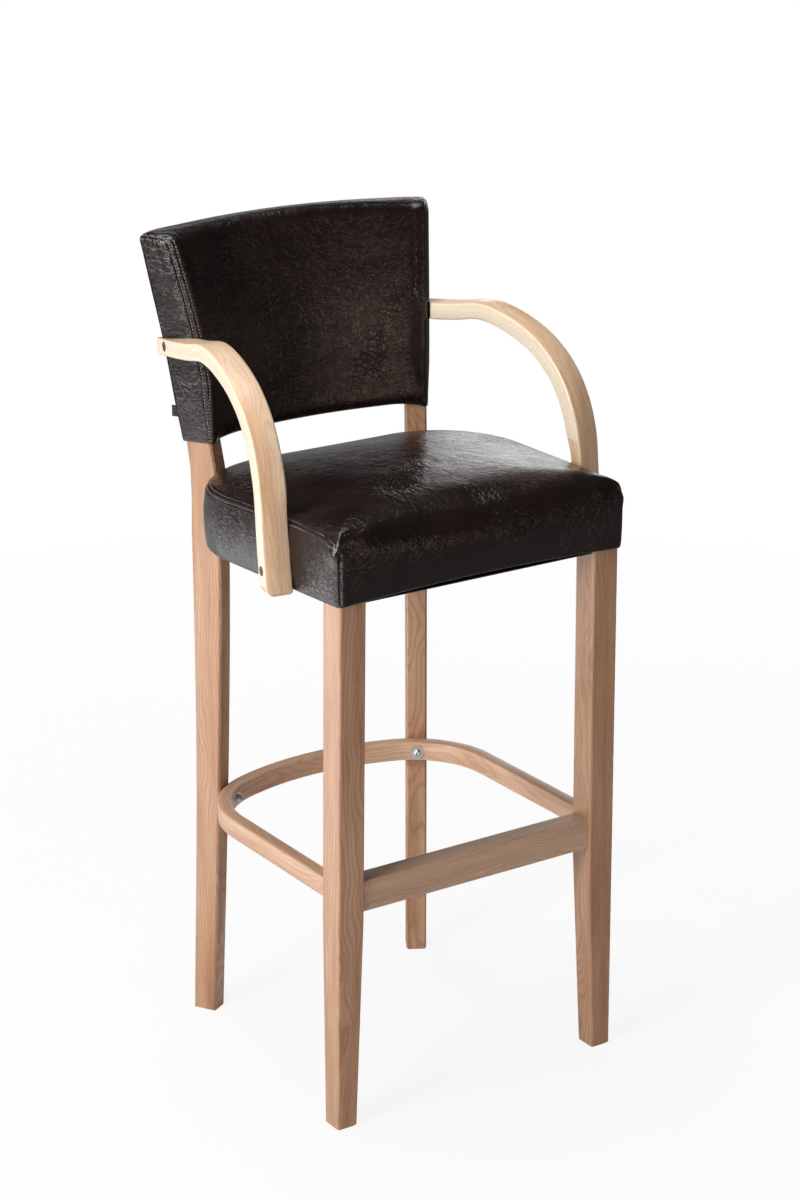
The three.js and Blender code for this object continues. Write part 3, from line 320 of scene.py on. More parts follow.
def split_axes(tree, vector):
    return node(tree, "ShaderNodeSeparateXYZ", {}, Vector=vector).outputs


def noise_node(tree, vector, scale, detail, **more):
    return node(tree, "ShaderNodeTexNoise", {}, Vector=vector, Scale=scale, Detail=detail, **more).outputs


def cell_node(tree, vector, scale, feature="F1"):
    made = node(tree, "ShaderNodeTexVoronoi", {"feature": feature}, Vector=vector, Scale=scale)
    return made.outputs["Distance"]


def object_place(tree):
    return node(tree, "ShaderNodeTexCoord").outputs["Object"]


def distance_out(tree, vector):
    return node(tree, "ShaderNodeVectorMath", {"operation": "LENGTH"}, Vector=vector).outputs["Value"]


def ramp(tree, value, stops):
    made = tree.nodes.new("ShaderNodeValToRGB")
    elements = made.color_ramp.elements
    while len(elements) < len(stops):
        elements.new(0.5)
    for element, (place, color) in zip(elements, stops):
        element.position = place
        element.color = (*color, 1)
    tree.links.new(value, made.inputs[0])
    return made.outputs["Color"]


def even_ramp(tree, value, low, high):
    """From one color to another over the middle of a noise's range."""
    return ramp(tree, value, [(0.3, low), (0.7, high)])


def mix_color(tree, factor, first, second, blend="MIX"):
    made = node(tree, "ShaderNodeMix", {"data_type": "RGBA", "blend_type": blend})
    connect(tree, made.inputs[0], factor)
    for socket, value in ((made.inputs[6], first), (made.inputs[7], second)):
        connect(tree, socket, value if hasattr(value, "is_linked") else (*value, 1))
    return made.outputs[2]


def scaled(tree, vector, scale, offset=(0, 0, 0)):
    return node(tree, "ShaderNodeMapping", {}, Vector=vector, Scale=scale, Location=offset).outputs[0]


def bump(tree, shader, height, strength, distance):
    made = node(tree, "ShaderNodeBump", {}, Strength=strength, Distance=distance, Height=height)
    tree.links.new(made.outputs[0], shader.inputs["Normal"])


# Materials

# Scales are per metre, and the grain's axes run along, across and through the wood

WOOD_ROUGHNESS, WOOD_COAT, WOOD_COAT_ROUGHNESS = 0.42, 0.3, 0.2
WOOD_SEED_STEPS = (1.37, 0.011, 0.017)
GROWTH_DRIFT_SCALE, GROWTH_DRIFT, GROWTH_RINGS = (4.5, 14, 14), 0.055, 1750.0
BROAD_SCALE, STREAK_SCALE = (5, 60, 60), (9, 420, 420)
FIBRE_SCALE, PORE_SCALE, LAYER_SCALE = (45, 1700, 1700), (130, 1500, 1500), (14, 40, 900)
PORE_SIZE = 0.22
PORE_TONE = (0.05, 0.02, 0.01)
LEG_TONES = (0.62, 0.395, 0.245), (0.25, 0.10, 0.045), (0.46, 0.225, 0.115)
RAIL_PALER, RAIL_PALER_SHARE = (1, 0.85, 0.7), 0.18
ARM_TONES = (0.92, 0.73, 0.55), (0.52, 0.28, 0.14), (0.82, 0.53, 0.31)
ARM_EDGE_TONE, ARM_FIGURE = (0.93, 0.81, 0.64), 0.26
HOOP_TONES, HOOP_JOINT = ((0.78, 0.54, 0.38), (0.38, 0.19, 0.10), (0.62, 0.36, 0.22)), 0.33
# Past this distance from the middle of its width, a bent arm shows its glued layers
EDGE_START = 17.2

LEATHER_DEEP, LEATHER_PALE = (0.0085, 0.0048, 0.0046), (0.0185, 0.0100, 0.0092)
LEATHER_CRACK_TONE = (0.004, 0.0027, 0.0027)
LEATHER_SPECULAR = 0.45
THREAD_DARK, THREAD_PALE = (0.2, 0.16, 0.14), (0.42, 0.35, 0.31)


def grain_vector(tree, order):
    """The place along and across the grain: stored in the mesh, or the object's own axes in that order."""
    if order == "stored":
        return node(tree, "ShaderNodeAttribute", {"attribute_name": "grain"}).outputs["Vector"]
    axes = split_axes(tree, object_place(tree))
    joined = node(tree, "ShaderNodeCombineXYZ")
    for socket, axis in zip(joined.inputs, order):
        tree.links.new(axes[axis], socket)
    return joined.outputs[0]


def late_wood(tree, place, across, through):
    """The dark bands of growth rings round a heart that lies beside the piece and wanders along it."""
    drift = noise_node(tree, scaled(tree, place, GROWTH_DRIFT_SCALE), 1.0, 2.0)["Color"]
    wander = split_axes(tree, drift)
    wide_way = line(tree, wander["X"], GROWTH_DRIFT, across)
    deep_way = line(tree, wander["Y"], GROWTH_DRIFT, through)
    spread = node(tree, "ShaderNodeCombineXYZ", {}, X=wide_way, Y=deep_way)
    reach = distance_out(tree, spread.outputs[0])
    rings = math_node(tree, "SINE", times(tree, reach, GROWTH_RINGS))
    return math_node(tree, "POWER", line(tree, rings, 0.5, 0.5), 3.0)


def wood_material(name, seed, tones, order="stored", edge=None, joint=0.0, figure=0.42):
    """Hardwood: growth rings cut lengthwise, fibres and pores drawn out along the grain.

    tones are pale, dark and redder; edge is the color of layered narrow sides; joint is how far apart glued
    lengths meet, in metres; figure is how strongly the growth rings show.
    """
    pale, dark, redder = tones
    material, tree, shader = new_material(name, pale, WOOD_ROUGHNESS)
    grain = grain_vector(tree, order)
    place = scaled(tree, grain, (1, 1, 1), [seed * step for step in WOOD_SEED_STEPS])
    along, across, through = split_axes(tree, place)
    late = late_wood(tree, place, across, through)
    broad = noise_node(tree, scaled(tree, place, BROAD_SCALE), 1.0, 4.0, Roughness=0.6)["Fac"]
    streak = noise_node(tree, scaled(tree, place, STREAK_SCALE), 1.0, 3.0, Roughness=0.6)["Fac"]
    fibre = noise_node(tree, scaled(tree, place, FIBRE_SCALE), 1.0, 2.0)["Fac"]
    pore = math_node(tree, "LESS_THAN", cell_node(tree, scaled(tree, place, PORE_SCALE), 1.0), PORE_SIZE)
    stops = [(0.3, pale), (0.52, lerp_color(pale, redder, 0.55)), (0.72, lerp_color(redder, dark, 0.4))]
    color = mix_color(tree, times(tree, late, figure), ramp(tree, broad, stops), dark)
    streak = limit(tree, line(tree, streak, 2.6, -1.0))
    color = mix_color(tree, times(tree, streak, 0.35), color, redder)
    if joint:
        length = math_node(tree, "FLOOR", math_node(tree, "DIVIDE", along, joint))
        tone = node(tree, "ShaderNodeTexWhiteNoise", {"noise_dimensions": "1D"}, W=length).outputs["Value"]
        color = mix_color(tree, times(tree, tone, 0.45), color, lerp_color(dark, redder, 0.5))
    if edge:
        reach = math_node(tree, "ABSOLUTE", split_axes(tree, grain)["Y"])
        layer = noise_node(tree, scaled(tree, place, LAYER_SCALE), 1.0, 2.0)["Fac"]
        layer = limit(tree, line(tree, layer, 3.0, -1.15))
        layered = mix_color(tree, times(tree, layer, 0.4), edge, lerp_color(edge, dark, 0.55))
        color = mix_color(tree, math_node(tree, "GREATER_THAN", reach, EDGE_START * MM), color, layered)
    color = mix_color(tree, times(tree, fibre, 0.22), color, dark, "MULTIPLY")
    color = mix_color(tree, times(tree, pore, 0.5), color, lerp_color(dark, PORE_TONE, 0.6))
    tree.links.new(color, shader.inputs["Base Color"])
    tree.links.new(line(tree, fibre, 0.2, 0.3), shader.inputs["Roughness"])
    height = math_node(tree, "SUBTRACT", times(tree, fibre, 0.5), pore)
    bump(tree, shader, height, strength=0.25, distance=0.0003)
    shader.inputs["Coat Weight"].default_value = WOOD_COAT
    shader.inputs["Coat Roughness"].default_value = WOOD_COAT_ROUGHNESS
    return material


def leather_material(name):
    """Glossy dark brown faux leather: pebbles, patches of crackle, soft dents, and folds on its sides."""
    material, tree, shader = new_material(name, LEATHER_DEEP, 0.3)
    place = object_place(tree)
    wander = noise_node(tree, place, 60.0, 3.0)["Color"]
    bend = (0.012, 0.012, 0.012)
    bent = math_node(tree, "MULTIPLY_ADD", wander, bend, place, kind="ShaderNodeVectorMath")
    crack = cell_node(tree, bent, 125.0, "DISTANCE_TO_EDGE")
    crack = math_node(tree, "MINIMUM", times(tree, crack, 9.0), 1.0)
    where = math_node(tree, "SUBTRACT", noise_node(tree, place, 13.0, 2.0)["Fac"], 0.4)
    where = limit(tree, times(tree, where, 3.0), 0.25)
    # Folds stand upright, and only on faces that look sideways
    sideways = split_axes(tree, node(tree, "ShaderNodeNewGeometry").outputs["Normal"])["X"]
    fold = noise_node(tree, scaled(tree, place, (70, 70, 20)), 1.0, 2.0)["Fac"]
    height = times(tree, crack, where)
    for value, share in (
        (cell_node(tree, bent, 620.0), 0.4),
        (noise_node(tree, place, 34.0, 4.0)["Fac"], 2.8),
        (noise_node(tree, place, 115.0, 3.0)["Fac"], 1.1),
        (times(tree, fold, times(tree, sideways, sideways)), 3.9),
    ):
        height = line(tree, value, share, height)
    bump(tree, shader, height, strength=0.7, distance=0.0006)
    mottled = noise_node(tree, place, 22.0, 5.0)["Fac"]
    color = even_ramp(tree, mottled, LEATHER_DEEP, LEATHER_PALE)
    worn = math_node(tree, "SUBTRACT", 1.0, crack)
    color = mix_color(tree, times(tree, worn, 0.3), color, LEATHER_CRACK_TONE)
    tree.links.new(color, shader.inputs["Base Color"])
    tree.links.new(line(tree, mottled, 0.16, 0.12), shader.inputs["Roughness"])
    shader.inputs["Specular IOR Level"].default_value = LEATHER_SPECULAR
    return material


def thread_material():
    material, tree, shader = new_material("thread", THREAD_PALE, 0.45)
    twist = noise_node(tree, object_place(tree), 1800.0, 1.0)["Fac"]
    tree.links.new(even_ramp(tree, twist, THREAD_DARK, THREAD_PALE), shader.inputs["Base Color"])
    bump(tree, shader, twist, strength=0.4, distance=0.0002)
    return material


def plain_material(name, low, high, roughness, scale, metallic=0.0, depth=0.0002):
    """A finely mottled finish between two colors."""
    material, tree, shader = new_material(name, low, roughness, metallic)
    grain = noise_node(tree, object_place(tree), scale, 4.0)["Fac"]
    tree.links.new(even_ramp(tree, grain, low, high), shader.inputs["Base Color"])
    tree.links.new(line(tree, grain, 0.2, roughness - 0.1), shader.inputs["Roughness"])
    bump(tree, shader, grain, strength=0.3, distance=depth)
    return material


def assign(obj, material):
    obj.data.materials.clear()
    obj.data.materials.append(material)
    for polygon in obj.data.polygons:
        polygon.material_index = 0


def paint_nodes():
    wood_nodes = [n for n in frame["nodes"] if n.startswith(("front_leg", "rear_leg", "footrest"))]
    for seed, name in enumerate(sorted(wood_nodes)):
        level = name == "footrest_rail"
        paler = RAIL_PALER_SHARE if level else 0.0
        tones = [lerp_color(tone, RAIL_PALER, paler) for tone in LEG_TONES]
        wood = wood_material(f"wood_{name}", seed + 1, tones, "XZY" if level else "ZXY")
        assign(frame["nodes"][name], wood)
    by_slot = {
        "black_cloth": plain_material("black_cloth", (0.012, 0.012, 0.013), (0.03, 0.03, 0.032), 0.85, 900.0),
        "foam": plain_material("foam", (0.72, 0.64, 0.38), (0.84, 0.77, 0.52), 0.9, 400.0),
        "frame_pine": plain_material("frame_pine", (0.55, 0.40, 0.24), (0.70, 0.55, 0.36), 0.7, 60.0),
        "zinc": plain_material("zinc", (0.55, 0.56, 0.58), (0.72, 0.73, 0.75), 0.32, 500.0, 1.0, 0.00005),
        "brown_cap": plain_material("brown_cap", (0.045, 0.024, 0.012), (0.11, 0.06, 0.032), 0.45, 700.0),
    }
    slots = {entry["node"]: entry["material_slot"] for entry in frame["record"]["subparts"]}
    for name, obj in frame["nodes"].items():
        if slots[name] in by_slot:
            assign(obj, by_slot[slots[name]])


# Padding: the leather is blown out between its seams by a short cloth simulation

CLOTH_VOXEL = 5.0
CLOTH_FRAMES = 20
CLOTH_SETTINGS = {
    "quality": 6, "mass": 0.25, "tension_stiffness": 15, "compression_stiffness": 12, "shear_stiffness": 4,
    "bending_stiffness": 4, "use_pressure": True, "uniform_pressure_force": 4.0,
}


def cloth_moves(points, faces, fixed, cap):
    """Pairs of (place, move) for a cover that swells between the places where fixed() holds it."""
    body = plain_object("swell", [p * MM for p in points], faces)
    remesh = body.modifiers.new("remesh", "REMESH")
    remesh.mode = "VOXEL"
    remesh.voxel_size = CLOTH_VOXEL * MM
    graph = bpy.context.evaluated_depsgraph_get()
    body.data = bpy.data.meshes.new_from_object(body.evaluated_get(graph))
    body.modifiers.clear()
    start = [v.co / MM for v in body.data.vertices]
    group = body.vertex_groups.new(name="fixed")
    group.add([i for i, place in enumerate(start) if fixed(place)], 1.0, "REPLACE")
    cloth = body.modifiers.new("cloth", "CLOTH")
    for key, value in CLOTH_SETTINGS.items():
        setattr(cloth.settings, key, value)
    cloth.settings.vertex_group_mass = "fixed"
    cloth.settings.effector_weights.gravity = 0
    cloth.collision_settings.use_collision = False
    scene = bpy.context.scene
    for step in range(1, CLOTH_FRAMES + 1):
        scene.frame_set(step)
    graph = bpy.context.evaluated_depsgraph_get()
    swollen = body.evaluated_get(graph).to_mesh()
    moves = []
    for place, vertex in zip(start, swollen.vertices):
        move = vertex.co / MM - place
        if move.length > cap:
            move *= cap / move.length
        moves.append((place, move))
    body.evaluated_get(graph).to_mesh_clear()
    bpy.data.objects.remove(body)
    scene.frame_set(1)
    return moves


def carry_moves(rings, moves, share, spread):
    """Moves every point of the rings by a share of how the nearest places of the swollen cover moved."""
    tree = point_tree([place for place, _ in moves])
    soften = 0.12 * spread
    for ring in rings:
        for i, point in enumerate(ring):
            total = Vector((0, 0, 0))
            weight = 0.0
            for _, index, distance in tree.find_n(point, spread):
                near = 1 / (distance + soften) ** 2
                total += moves[index][1] * near
                weight += near
            ring[i] = point + total * (share / weight)


def padding(name, rings, node_name, closing, depth):
    """The foam under a cover: the cover's form drawn in, in place of the plain foam block."""
    low = min(v.co.z for v in frame["nodes"][node_name].data.vertices) / MM
    kept = []
    for ring, row in zip(rings, even_normals(ring_normals(rings))):
        inner = [point - normal * depth for point, normal in zip(ring, row)]
        if kept or min(p.z for p in inner) > low:
            kept.append(inner)
    around = len(rings[0])
    faces = ring_faces(len(kept), around) + closing(len(kept), around)
    foam = frame["nodes"][node_name].data.materials[0]
    filling = make_object(name, all_points(kept), faces, foam)
    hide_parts(node_name)


def cover(name, rings, faces, leather, node_name):
    """The leather cover as a finely divided mesh that stands for the solid of that name."""
    cushion = make_object(name, all_points(rings), faces, leather)
    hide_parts(node_name)
    subdivide(cushion)


# Seams and stitches

SEAM_STEP = 0.7
SEAM_REACH = 14.0
PUCKER_LONG, PUCKER_WIDE, PUCKER_APART, PUCKER_SEED = 5.5, 6.0, 9, 3.1
STITCH_PITCH = 4.2
STITCH_LONG = 3.0
STITCH_RADIUS = 0.72
STITCH_SINK = 0.7
STITCH_SIDES = 5
STITCH_SHAPE = [(-0.5, 0.25), (-0.3, 0.9), (0, 1), (0.3, 0.9), (0.5, 0.25)]


def seam_tree(path, step=SEAM_STEP):
    return point_tree([place for place, _ in resample(path, step)])


def push_by_seams(rings, seams):
    """Grooves the surface along each (path, depth, width, pucker) and puckers it beside the stitches."""
    trees = [(seam_tree(path), depth, wide, pucker) for path, depth, wide, pucker in seams]
    moved = []
    for ring, normals in zip(rings, ring_normals(rings)):
        row = []
        for point, normal in zip(ring, normals):
            push = 0.0
            for tree, depth, wide, pucker in trees:
                _, index, distance = tree.find(point)
                if distance < SEAM_REACH:
                    push -= depth * math.exp(-((distance / wide) ** 2))
                    along = index * SEAM_STEP / PUCKER_LONG
                    wave = noise.noise(Vector((along, depth * PUCKER_APART, PUCKER_SEED)))
                    push += pucker * wave * math.exp(-((distance / PUCKER_WIDE) ** 2))
            row.append(point + normal * push)
        moved.append(row)
    return moved


def stitches(name, paths, rings, material):
    """One small thread loop for each stitch, along the paths laid on the surface of the rings."""
    surface = all_points(rings)
    normals = all_points(ring_normals(rings))
    tree = point_tree(surface)
    count = len(STITCH_SHAPE)
    shape = turned_over(ring_faces(count, STITCH_SIDES) + flat_ends(count, STITCH_SIDES))
    points = []
    faces = []
    for path in paths:
        for place, along in resample([surface[tree.find(p)[1]] for p in path], STITCH_PITCH):
            side = along.cross(normals[tree.find(place)[1]]).normalized()
            up = side.cross(along).normalized()
            start = len(points)
            for reach, fat in STITCH_SHAPE:
                centre = place + along * (reach * STITCH_LONG) - up * (STITCH_SINK * abs(reach))
                for k in range(STITCH_SIDES):
                    angle = 2 * math.pi * k / STITCH_SIDES
                    spoke = side * math.cos(angle) + up * math.sin(angle)
                    points.append(centre + spoke * (STITCH_RADIUS * fat))
            faces += [tuple(start + corner for corner in face) for face in shape]
    make_object(name, points, faces, material)


# Seat cushion

SEAT_BOTTOM = 704.0
SEAT_FRONT = 231.0
SEAT_HALF = 215.5
SEAT_NOSE = 11.0
SEAT_NOSE_LEAST, SEAT_NOSE_WIDENS_FROM, SEAT_NOSE_WIDENING = 3.0, 8.0, 0.9
SEAT_HEEL = Vector((96, 20, 0))
SEAT_HEEL_RADIUS = LEG_WAIST - 0.3 - SEAT_HEEL.dot(LEG_BACK)
SEAT_SIDE_TURN = math.radians(4)
SEAT_SIDE_NORMAL = Vector((math.cos(SEAT_SIDE_TURN), -math.sin(SEAT_SIDE_TURN), 0))
SEAT_SIDE_HIGH = 84.0
SEAT_FALL, SEAT_FALL_FROM, SEAT_FALL_OVER = 11.0, 30.0, 45.0
SEAT_ARCH, SEAT_ARCH_ZONE, SEAT_ARCH_HIGH = 6.5, 60.0, 60.0
SEAT_CROWN, SEAT_CROWN_POWER, SEAT_CROWN_DROP = 25.0, 2.7, 0.5
SEAT_CROWN_HALF_X, SEAT_CROWN_HALF_Y, SEAT_CROWN_Y = 222.0, 192.0, -38.0
SEAT_RIM_POWER, SEAT_RIM_BLEND = 2.6, 0.3
SEAT_SHOULDER = 22.4
SEAT_ARM_DENT, SEAT_ARM_DENT_Y, SEAT_ARM_DENT_LONG = 1.3, -120.0, 20.0
SEAT_FRONT_SHARES = [0, 0.1, 0.2, 0.3, 0.4, 0.5, 0.6, 0.69, 0.77, 0.84, 0.9, 0.95]
SEAT_SIDE_SHARES = [0.03, 0.07, 0.12, 0.18, 0.25, 0.33, 0.42, 0.5, 0.58, 0.66, 0.74, 0.82, 0.91]
SEAT_NOSE_PARTS, SEAT_HEEL_PARTS, SEAT_REAR_PARTS = 16, 30, 8
# How far in from the seat's outline each level of the boxing lies, and how high it is
SEAT_PROFILE = [
    (26, 0.0), (20, 0.0), (15, 0.0), (10, 0.0), (5.6, 0.0), (3.4, 0.2), (1.8, 0.8), (0.9, 1.8), (0.3, 3.4),
    (-0.1, 6.6), (-0.6, 10.5), (-1.0, 15), (-1.5, 20), (-1.9, 26), (-2.1, 32), (-2.2, 38), (-2.2, 44),
    (-2.1, 50), (-1.8, 56), (-1.4, 61), (-1.0, 65.5), (-0.5, 70), (-0.1, 73), (0.2, 75.5), (0.4, 77.7),
    (0.7, 79.5), (1.1, 81.2), (1.7, 82.8), (2.4, 84.2), (3.3, 85.5), (4.2, 86.6), (5.2, 87.6), (6.2, 88.6),
    (7.3, 89.5), (8.6, 90.5), (10.2, 91.5), (12.4, 92.7), (15.2, 93.9), (18.6, 95.2), (22.4, 96.5),
]
SEAT_TOP_RINGS, SEAT_LAST_RING = 30, 0.985
# How much of the front edge's broad roll each stretch of the outline has, and where the roll starts
SEAT_ROLL_FRONT, SEAT_ROLL_CORNER, SEAT_ROLL_SIDE, SEAT_ROLL_SIDE_SHARE = 1.0, 0.85, 0.35, 0.3
SEAT_ROLL_START = 54.0
SEAT_PADDING_IN = 2.6
SEAT_SWELL_CAP, SEAT_SWELL_SHARE, SEAT_SWELL_SPREAD = 9.0, 0.7, 8
SEAT_SEAM_HIGH, SEAT_SEAM_HELD, SEAT_SEAM_LOW = 89.4, 86.0, 84.0
SEAT_SEAM_DROP, SEAT_SEAM_TURN_COLUMNS = 24.0, 17
SEAT_STITCH_FROM = 6
# Depth, width and pucker of the seams
SEAT_HIGH_SEAM, SEAT_LOW_SEAM, SEAT_BETWEEN_SEAMS = (1.2, 1.1, 0.4), (1.2, 1.1, 0.3), (-0.3, 1.4, 0.0)
SEAT_POST_SEAM, SEAT_DART_SEAM = (2.0, 1.6, 0.6), (1.5, 1.6, 0.5)
# The hem and the seams hold the swelling leather: up to this height, and as far as this from a seam
SEAT_HEM_HELD, SEAT_SEAM_GRIP, SEAT_POST_GRIP = 7, 5, 4
SEAT_POST_FIRST_RING, SEAT_POST_HIGH = 6, 70
SEAT_POST_RISES = (5, 10, 17, 27, 37, 47, 57, 62)
# The pulled corner, as (columns from the corner seam, rise): a dart, and the leather puffed beside it
SEAT_DART = [(0, 60), (-2, 70), (-4, 79), (-6, 86), (-7, 90)]
SEAT_PUFFS = [
    ([(8, 62), (10, 73)], -3.4, 7.5, 0.4), ([(-9, 80), (-10, 88)], -2.4, 6.0, 0.3),
    ([(1, 78), (2, 85)], -1.6, 3.5, 0.3),
]


def seat_outline():
    """Places round the right half of the seat, as (stretch, share or angle), good for any inset."""
    places = [("front", share) for share in SEAT_FRONT_SHARES]
    for i in range(SEAT_NOSE_PARTS + 1):
        places.append(("nose", lerp(-math.pi / 2, -SEAT_SIDE_TURN, i / SEAT_NOSE_PARTS)))
    places += [("side", share) for share in SEAT_SIDE_SHARES]
    for i in range(SEAT_HEEL_PARTS + 1):
        places.append(("heel", lerp(-SEAT_SIDE_TURN, math.pi / 2, i / SEAT_HEEL_PARTS)))
    places += [("rear", i / SEAT_REAR_PARTS) for i in range(1, SEAT_REAR_PARTS + 1)]
    return places


SEAT_PLACES = seat_outline()
# The corner seam stands a little in front of the middle of the rounded corner
SEAT_CORNER = len(SEAT_FRONT_SHARES) + 7


def seat_point(place, inset):
    kind, share = place
    nose = max(SEAT_NOSE - inset, SEAT_NOSE_LEAST)
    nose += max(inset - SEAT_NOSE_WIDENS_FROM, 0) * SEAT_NOSE_WIDENING
    nose_x = SEAT_HALF - inset - nose
    nose_y = -SEAT_FRONT + inset + nose
    heel = SEAT_HEEL_RADIUS - inset
    if kind == "front":
        return Vector((nose_x * share, nose_y - nose, 0))
    if kind == "nose":
        return Vector((nose_x + nose * math.cos(share), nose_y + nose * math.sin(share), 0))
    if kind == "side":
        start = seat_point(("nose", -SEAT_SIDE_TURN), inset)
        return start.lerp(SEAT_HEEL + SEAT_SIDE_NORMAL * heel, share)
    if kind == "heel":
        return SEAT_HEEL + Vector((math.cos(share), math.sin(share), 0)) * heel
    return Vector((SEAT_HEEL.x * (1 - share), SEAT_HEEL.y + heel, 0))


def seat_roll(place):
    """How much of the broad roll of the front edge a place round the seat has."""
    kind, share = place
    if kind == "front":
        return lerp(SEAT_ROLL_FRONT, SEAT_ROLL_CORNER, ease(share))
    if kind == "nose":
        turned = (share + math.pi / 2) / (math.pi / 2 - SEAT_SIDE_TURN)
        return lerp(SEAT_ROLL_CORNER, SEAT_ROLL_SIDE, ease(turned))
    if kind == "side":
        return SEAT_ROLL_SIDE * (1 - ease(share / SEAT_ROLL_SIDE_SHARE))
    return 0.0


def seat_arm_dent(point):
    """1 where the arm presses the side of the cushion, 0 elsewhere."""
    return math.exp(-(((point.y - SEAT_ARM_DENT_Y) / SEAT_ARM_DENT_LONG) ** 2))


def seat_height(point, rise, arch_share, fall_share):
    across = 1 - (point.x / SEAT_HALF) ** 2
    near = clamp((SEAT_ARCH_ZONE - SEAT_FRONT - point.y) / (SEAT_ARCH_ZONE / 2))
    rearward = (point.y + SEAT_FRONT) / (SEAT_FRONT + SEAT_HEEL.y + SEAT_HEEL_RADIUS)
    return SEAT_BOTTOM + rise + arch_share * SEAT_ARCH * across * near - fall_share * SEAT_FALL * rearward


def seat_crown(point):
    """The smooth field of the crown, from 0.5 at the corners to 1 in the middle."""
    a = clamp(abs(point.x) / SEAT_CROWN_HALF_X) ** SEAT_CROWN_POWER
    b = clamp(abs(point.y - SEAT_CROWN_Y) / SEAT_CROWN_HALF_Y) ** SEAT_CROWN_POWER
    return 1 - SEAT_CROWN_DROP * (a + b - a * b)


def seat_rings():
    rings = []
    top_rise = SEAT_PROFILE[-1][1]
    for inset, rise in SEAT_PROFILE:
        low = clamp(1 - rise / SEAT_ARCH_HIGH)
        fall = ease((rise - SEAT_FALL_FROM) / SEAT_FALL_OVER)
        turned = clamp((rise - SEAT_ROLL_START) / (top_rise - SEAT_ROLL_START))
        straight = inset if rise < SEAT_ROLL_START else 0
        rolled = max(SEAT_SHOULDER * (1 - math.sqrt(1 - turned * turned)), straight)
        half = []
        for place in SEAT_PLACES:
            depth = lerp(inset, rolled, seat_roll(place))
            if place[0] == "side" and depth < 0:
                depth *= 1 - SEAT_ARM_DENT * seat_arm_dent(seat_point(place, 0))
            point = seat_point(place, depth)
            point.z = seat_height(point, rise, low, fall)
            half.append(point)
        rings.append(mirrored_half(half))
    middle = Vector((0, SEAT_HEEL.y - SEAT_HEEL_RADIUS / 3, 0))
    for step in range(1, SEAT_TOP_RINGS + 1):
        shrink = 1 - SEAT_LAST_RING * step / SEAT_TOP_RINGS
        blend = ease((1 - shrink) / SEAT_RIM_BLEND)
        ring_rise = SEAT_SIDE_HIGH + SEAT_CROWN * (1 - SEAT_CROWN_DROP * shrink ** SEAT_RIM_POWER)
        half = []
        for place in SEAT_PLACES:
            point = middle.lerp(seat_point(place, SEAT_SHOULDER), shrink)
            field = SEAT_SIDE_HIGH + SEAT_CROWN * seat_crown(point)
            point.z = seat_height(point, lerp(ring_rise, field, blend), 0, 1)
            half.append(point)
        rings.append(mirrored_half(half))
    return rings


def seat_level(rise):
    return next(k for k, (_, level) in enumerate(SEAT_PROFILE) if level >= rise)


def seat_seam(rings, rise, side):
    """The side seam from the corner to the middle of the rear; side is 1 right, -1 left.

    Over its first columns it turns down into the corner seam.
    """
    around = len(rings[0])
    path = []
    for column in range(SEAT_CORNER, around // 2 + 1):
        turned = ease((column - SEAT_CORNER) / SEAT_SEAM_TURN_COLUMNS)
        ring = rings[seat_level(lerp(rise - SEAT_SEAM_DROP, rise, turned))]
        path.append(ring[column if side > 0 else (around - column) % around].copy())
    return path


def seat_path(rings, side, columns_and_rises):
    """A path near the corner, from columns counted from the corner seam."""
    path = []
    for column, rise in columns_and_rises:
        index = SEAT_CORNER + column
        path.append(rings[seat_level(rise)][index if side > 0 else len(rings[0]) - index].copy())
    return path


def swell_seat(rings):
    around = len(rings[0])
    loop = seat_seam(rings, SEAT_SEAM_HELD, 1) + seat_seam(rings, SEAT_SEAM_HELD, -1)[::-1]
    held = seam_tree(loop, 3)
    corners = (SEAT_CORNER, around - SEAT_CORNER)
    post_rings = rings[SEAT_POST_FIRST_RING:seat_level(SEAT_POST_HIGH)]
    posts = point_tree([ring[i] for ring in post_rings for i in corners])

    def fixed(place):
        if place.z < seat_height(place, SEAT_HEM_HELD, 1, 0):
            return True
        return held.find(place)[2] < SEAT_SEAM_GRIP or posts.find(place)[2] < SEAT_POST_GRIP

    faces = ring_faces(len(rings), around) + flat_ends(len(rings), around)
    moves = cloth_moves(all_points(rings), faces, fixed, SEAT_SWELL_CAP)
    carry_moves(rings, moves, SEAT_SWELL_SHARE, SEAT_SWELL_SPREAD)


def seat_cushion(leather, thread):
    rings = seat_rings()
    swell_seat(rings)
    padding("seat_padding", rings, "seat_foam", flat_ends, SEAT_PADDING_IN)
    seams = []
    stitched = []
    for side in (1, -1):
        high_row = seat_seam(rings, SEAT_SEAM_HIGH, side)
        low_row = seat_seam(rings, SEAT_SEAM_LOW, side)
        between = [(a + b) / 2 for a, b in zip(high_row, low_row)]
        post = seat_path(rings, side, [(0, rise) for rise in SEAT_POST_RISES])
        seams += [
            (round_path(high_row), *SEAT_HIGH_SEAM), (round_path(low_row), *SEAT_LOW_SEAM),
            (round_path(between), *SEAT_BETWEEN_SEAMS), (post, *SEAT_POST_SEAM),
            (round_path(seat_path(rings, side, SEAT_DART)), *SEAT_DART_SEAM),
        ]
        seams += [(seat_path(rings, side, places), *size) for places, *size in SEAT_PUFFS]
        stitched += [high_row[SEAT_STITCH_FROM:], low_row[SEAT_STITCH_FROM:]]
    moved = push_by_seams(rings, seams)
    # The underside stays open behind its turned-in hem, where the dust cover closes it
    faces = ring_faces(len(moved), len(moved[0])) + flat_ends(len(moved), len(moved[0]))[1:]
    cover("seat_cushion", moved, faces, leather, "seat_cover")
    stitches("seat_stitching", stitched, moved, thread)


# Back cushion

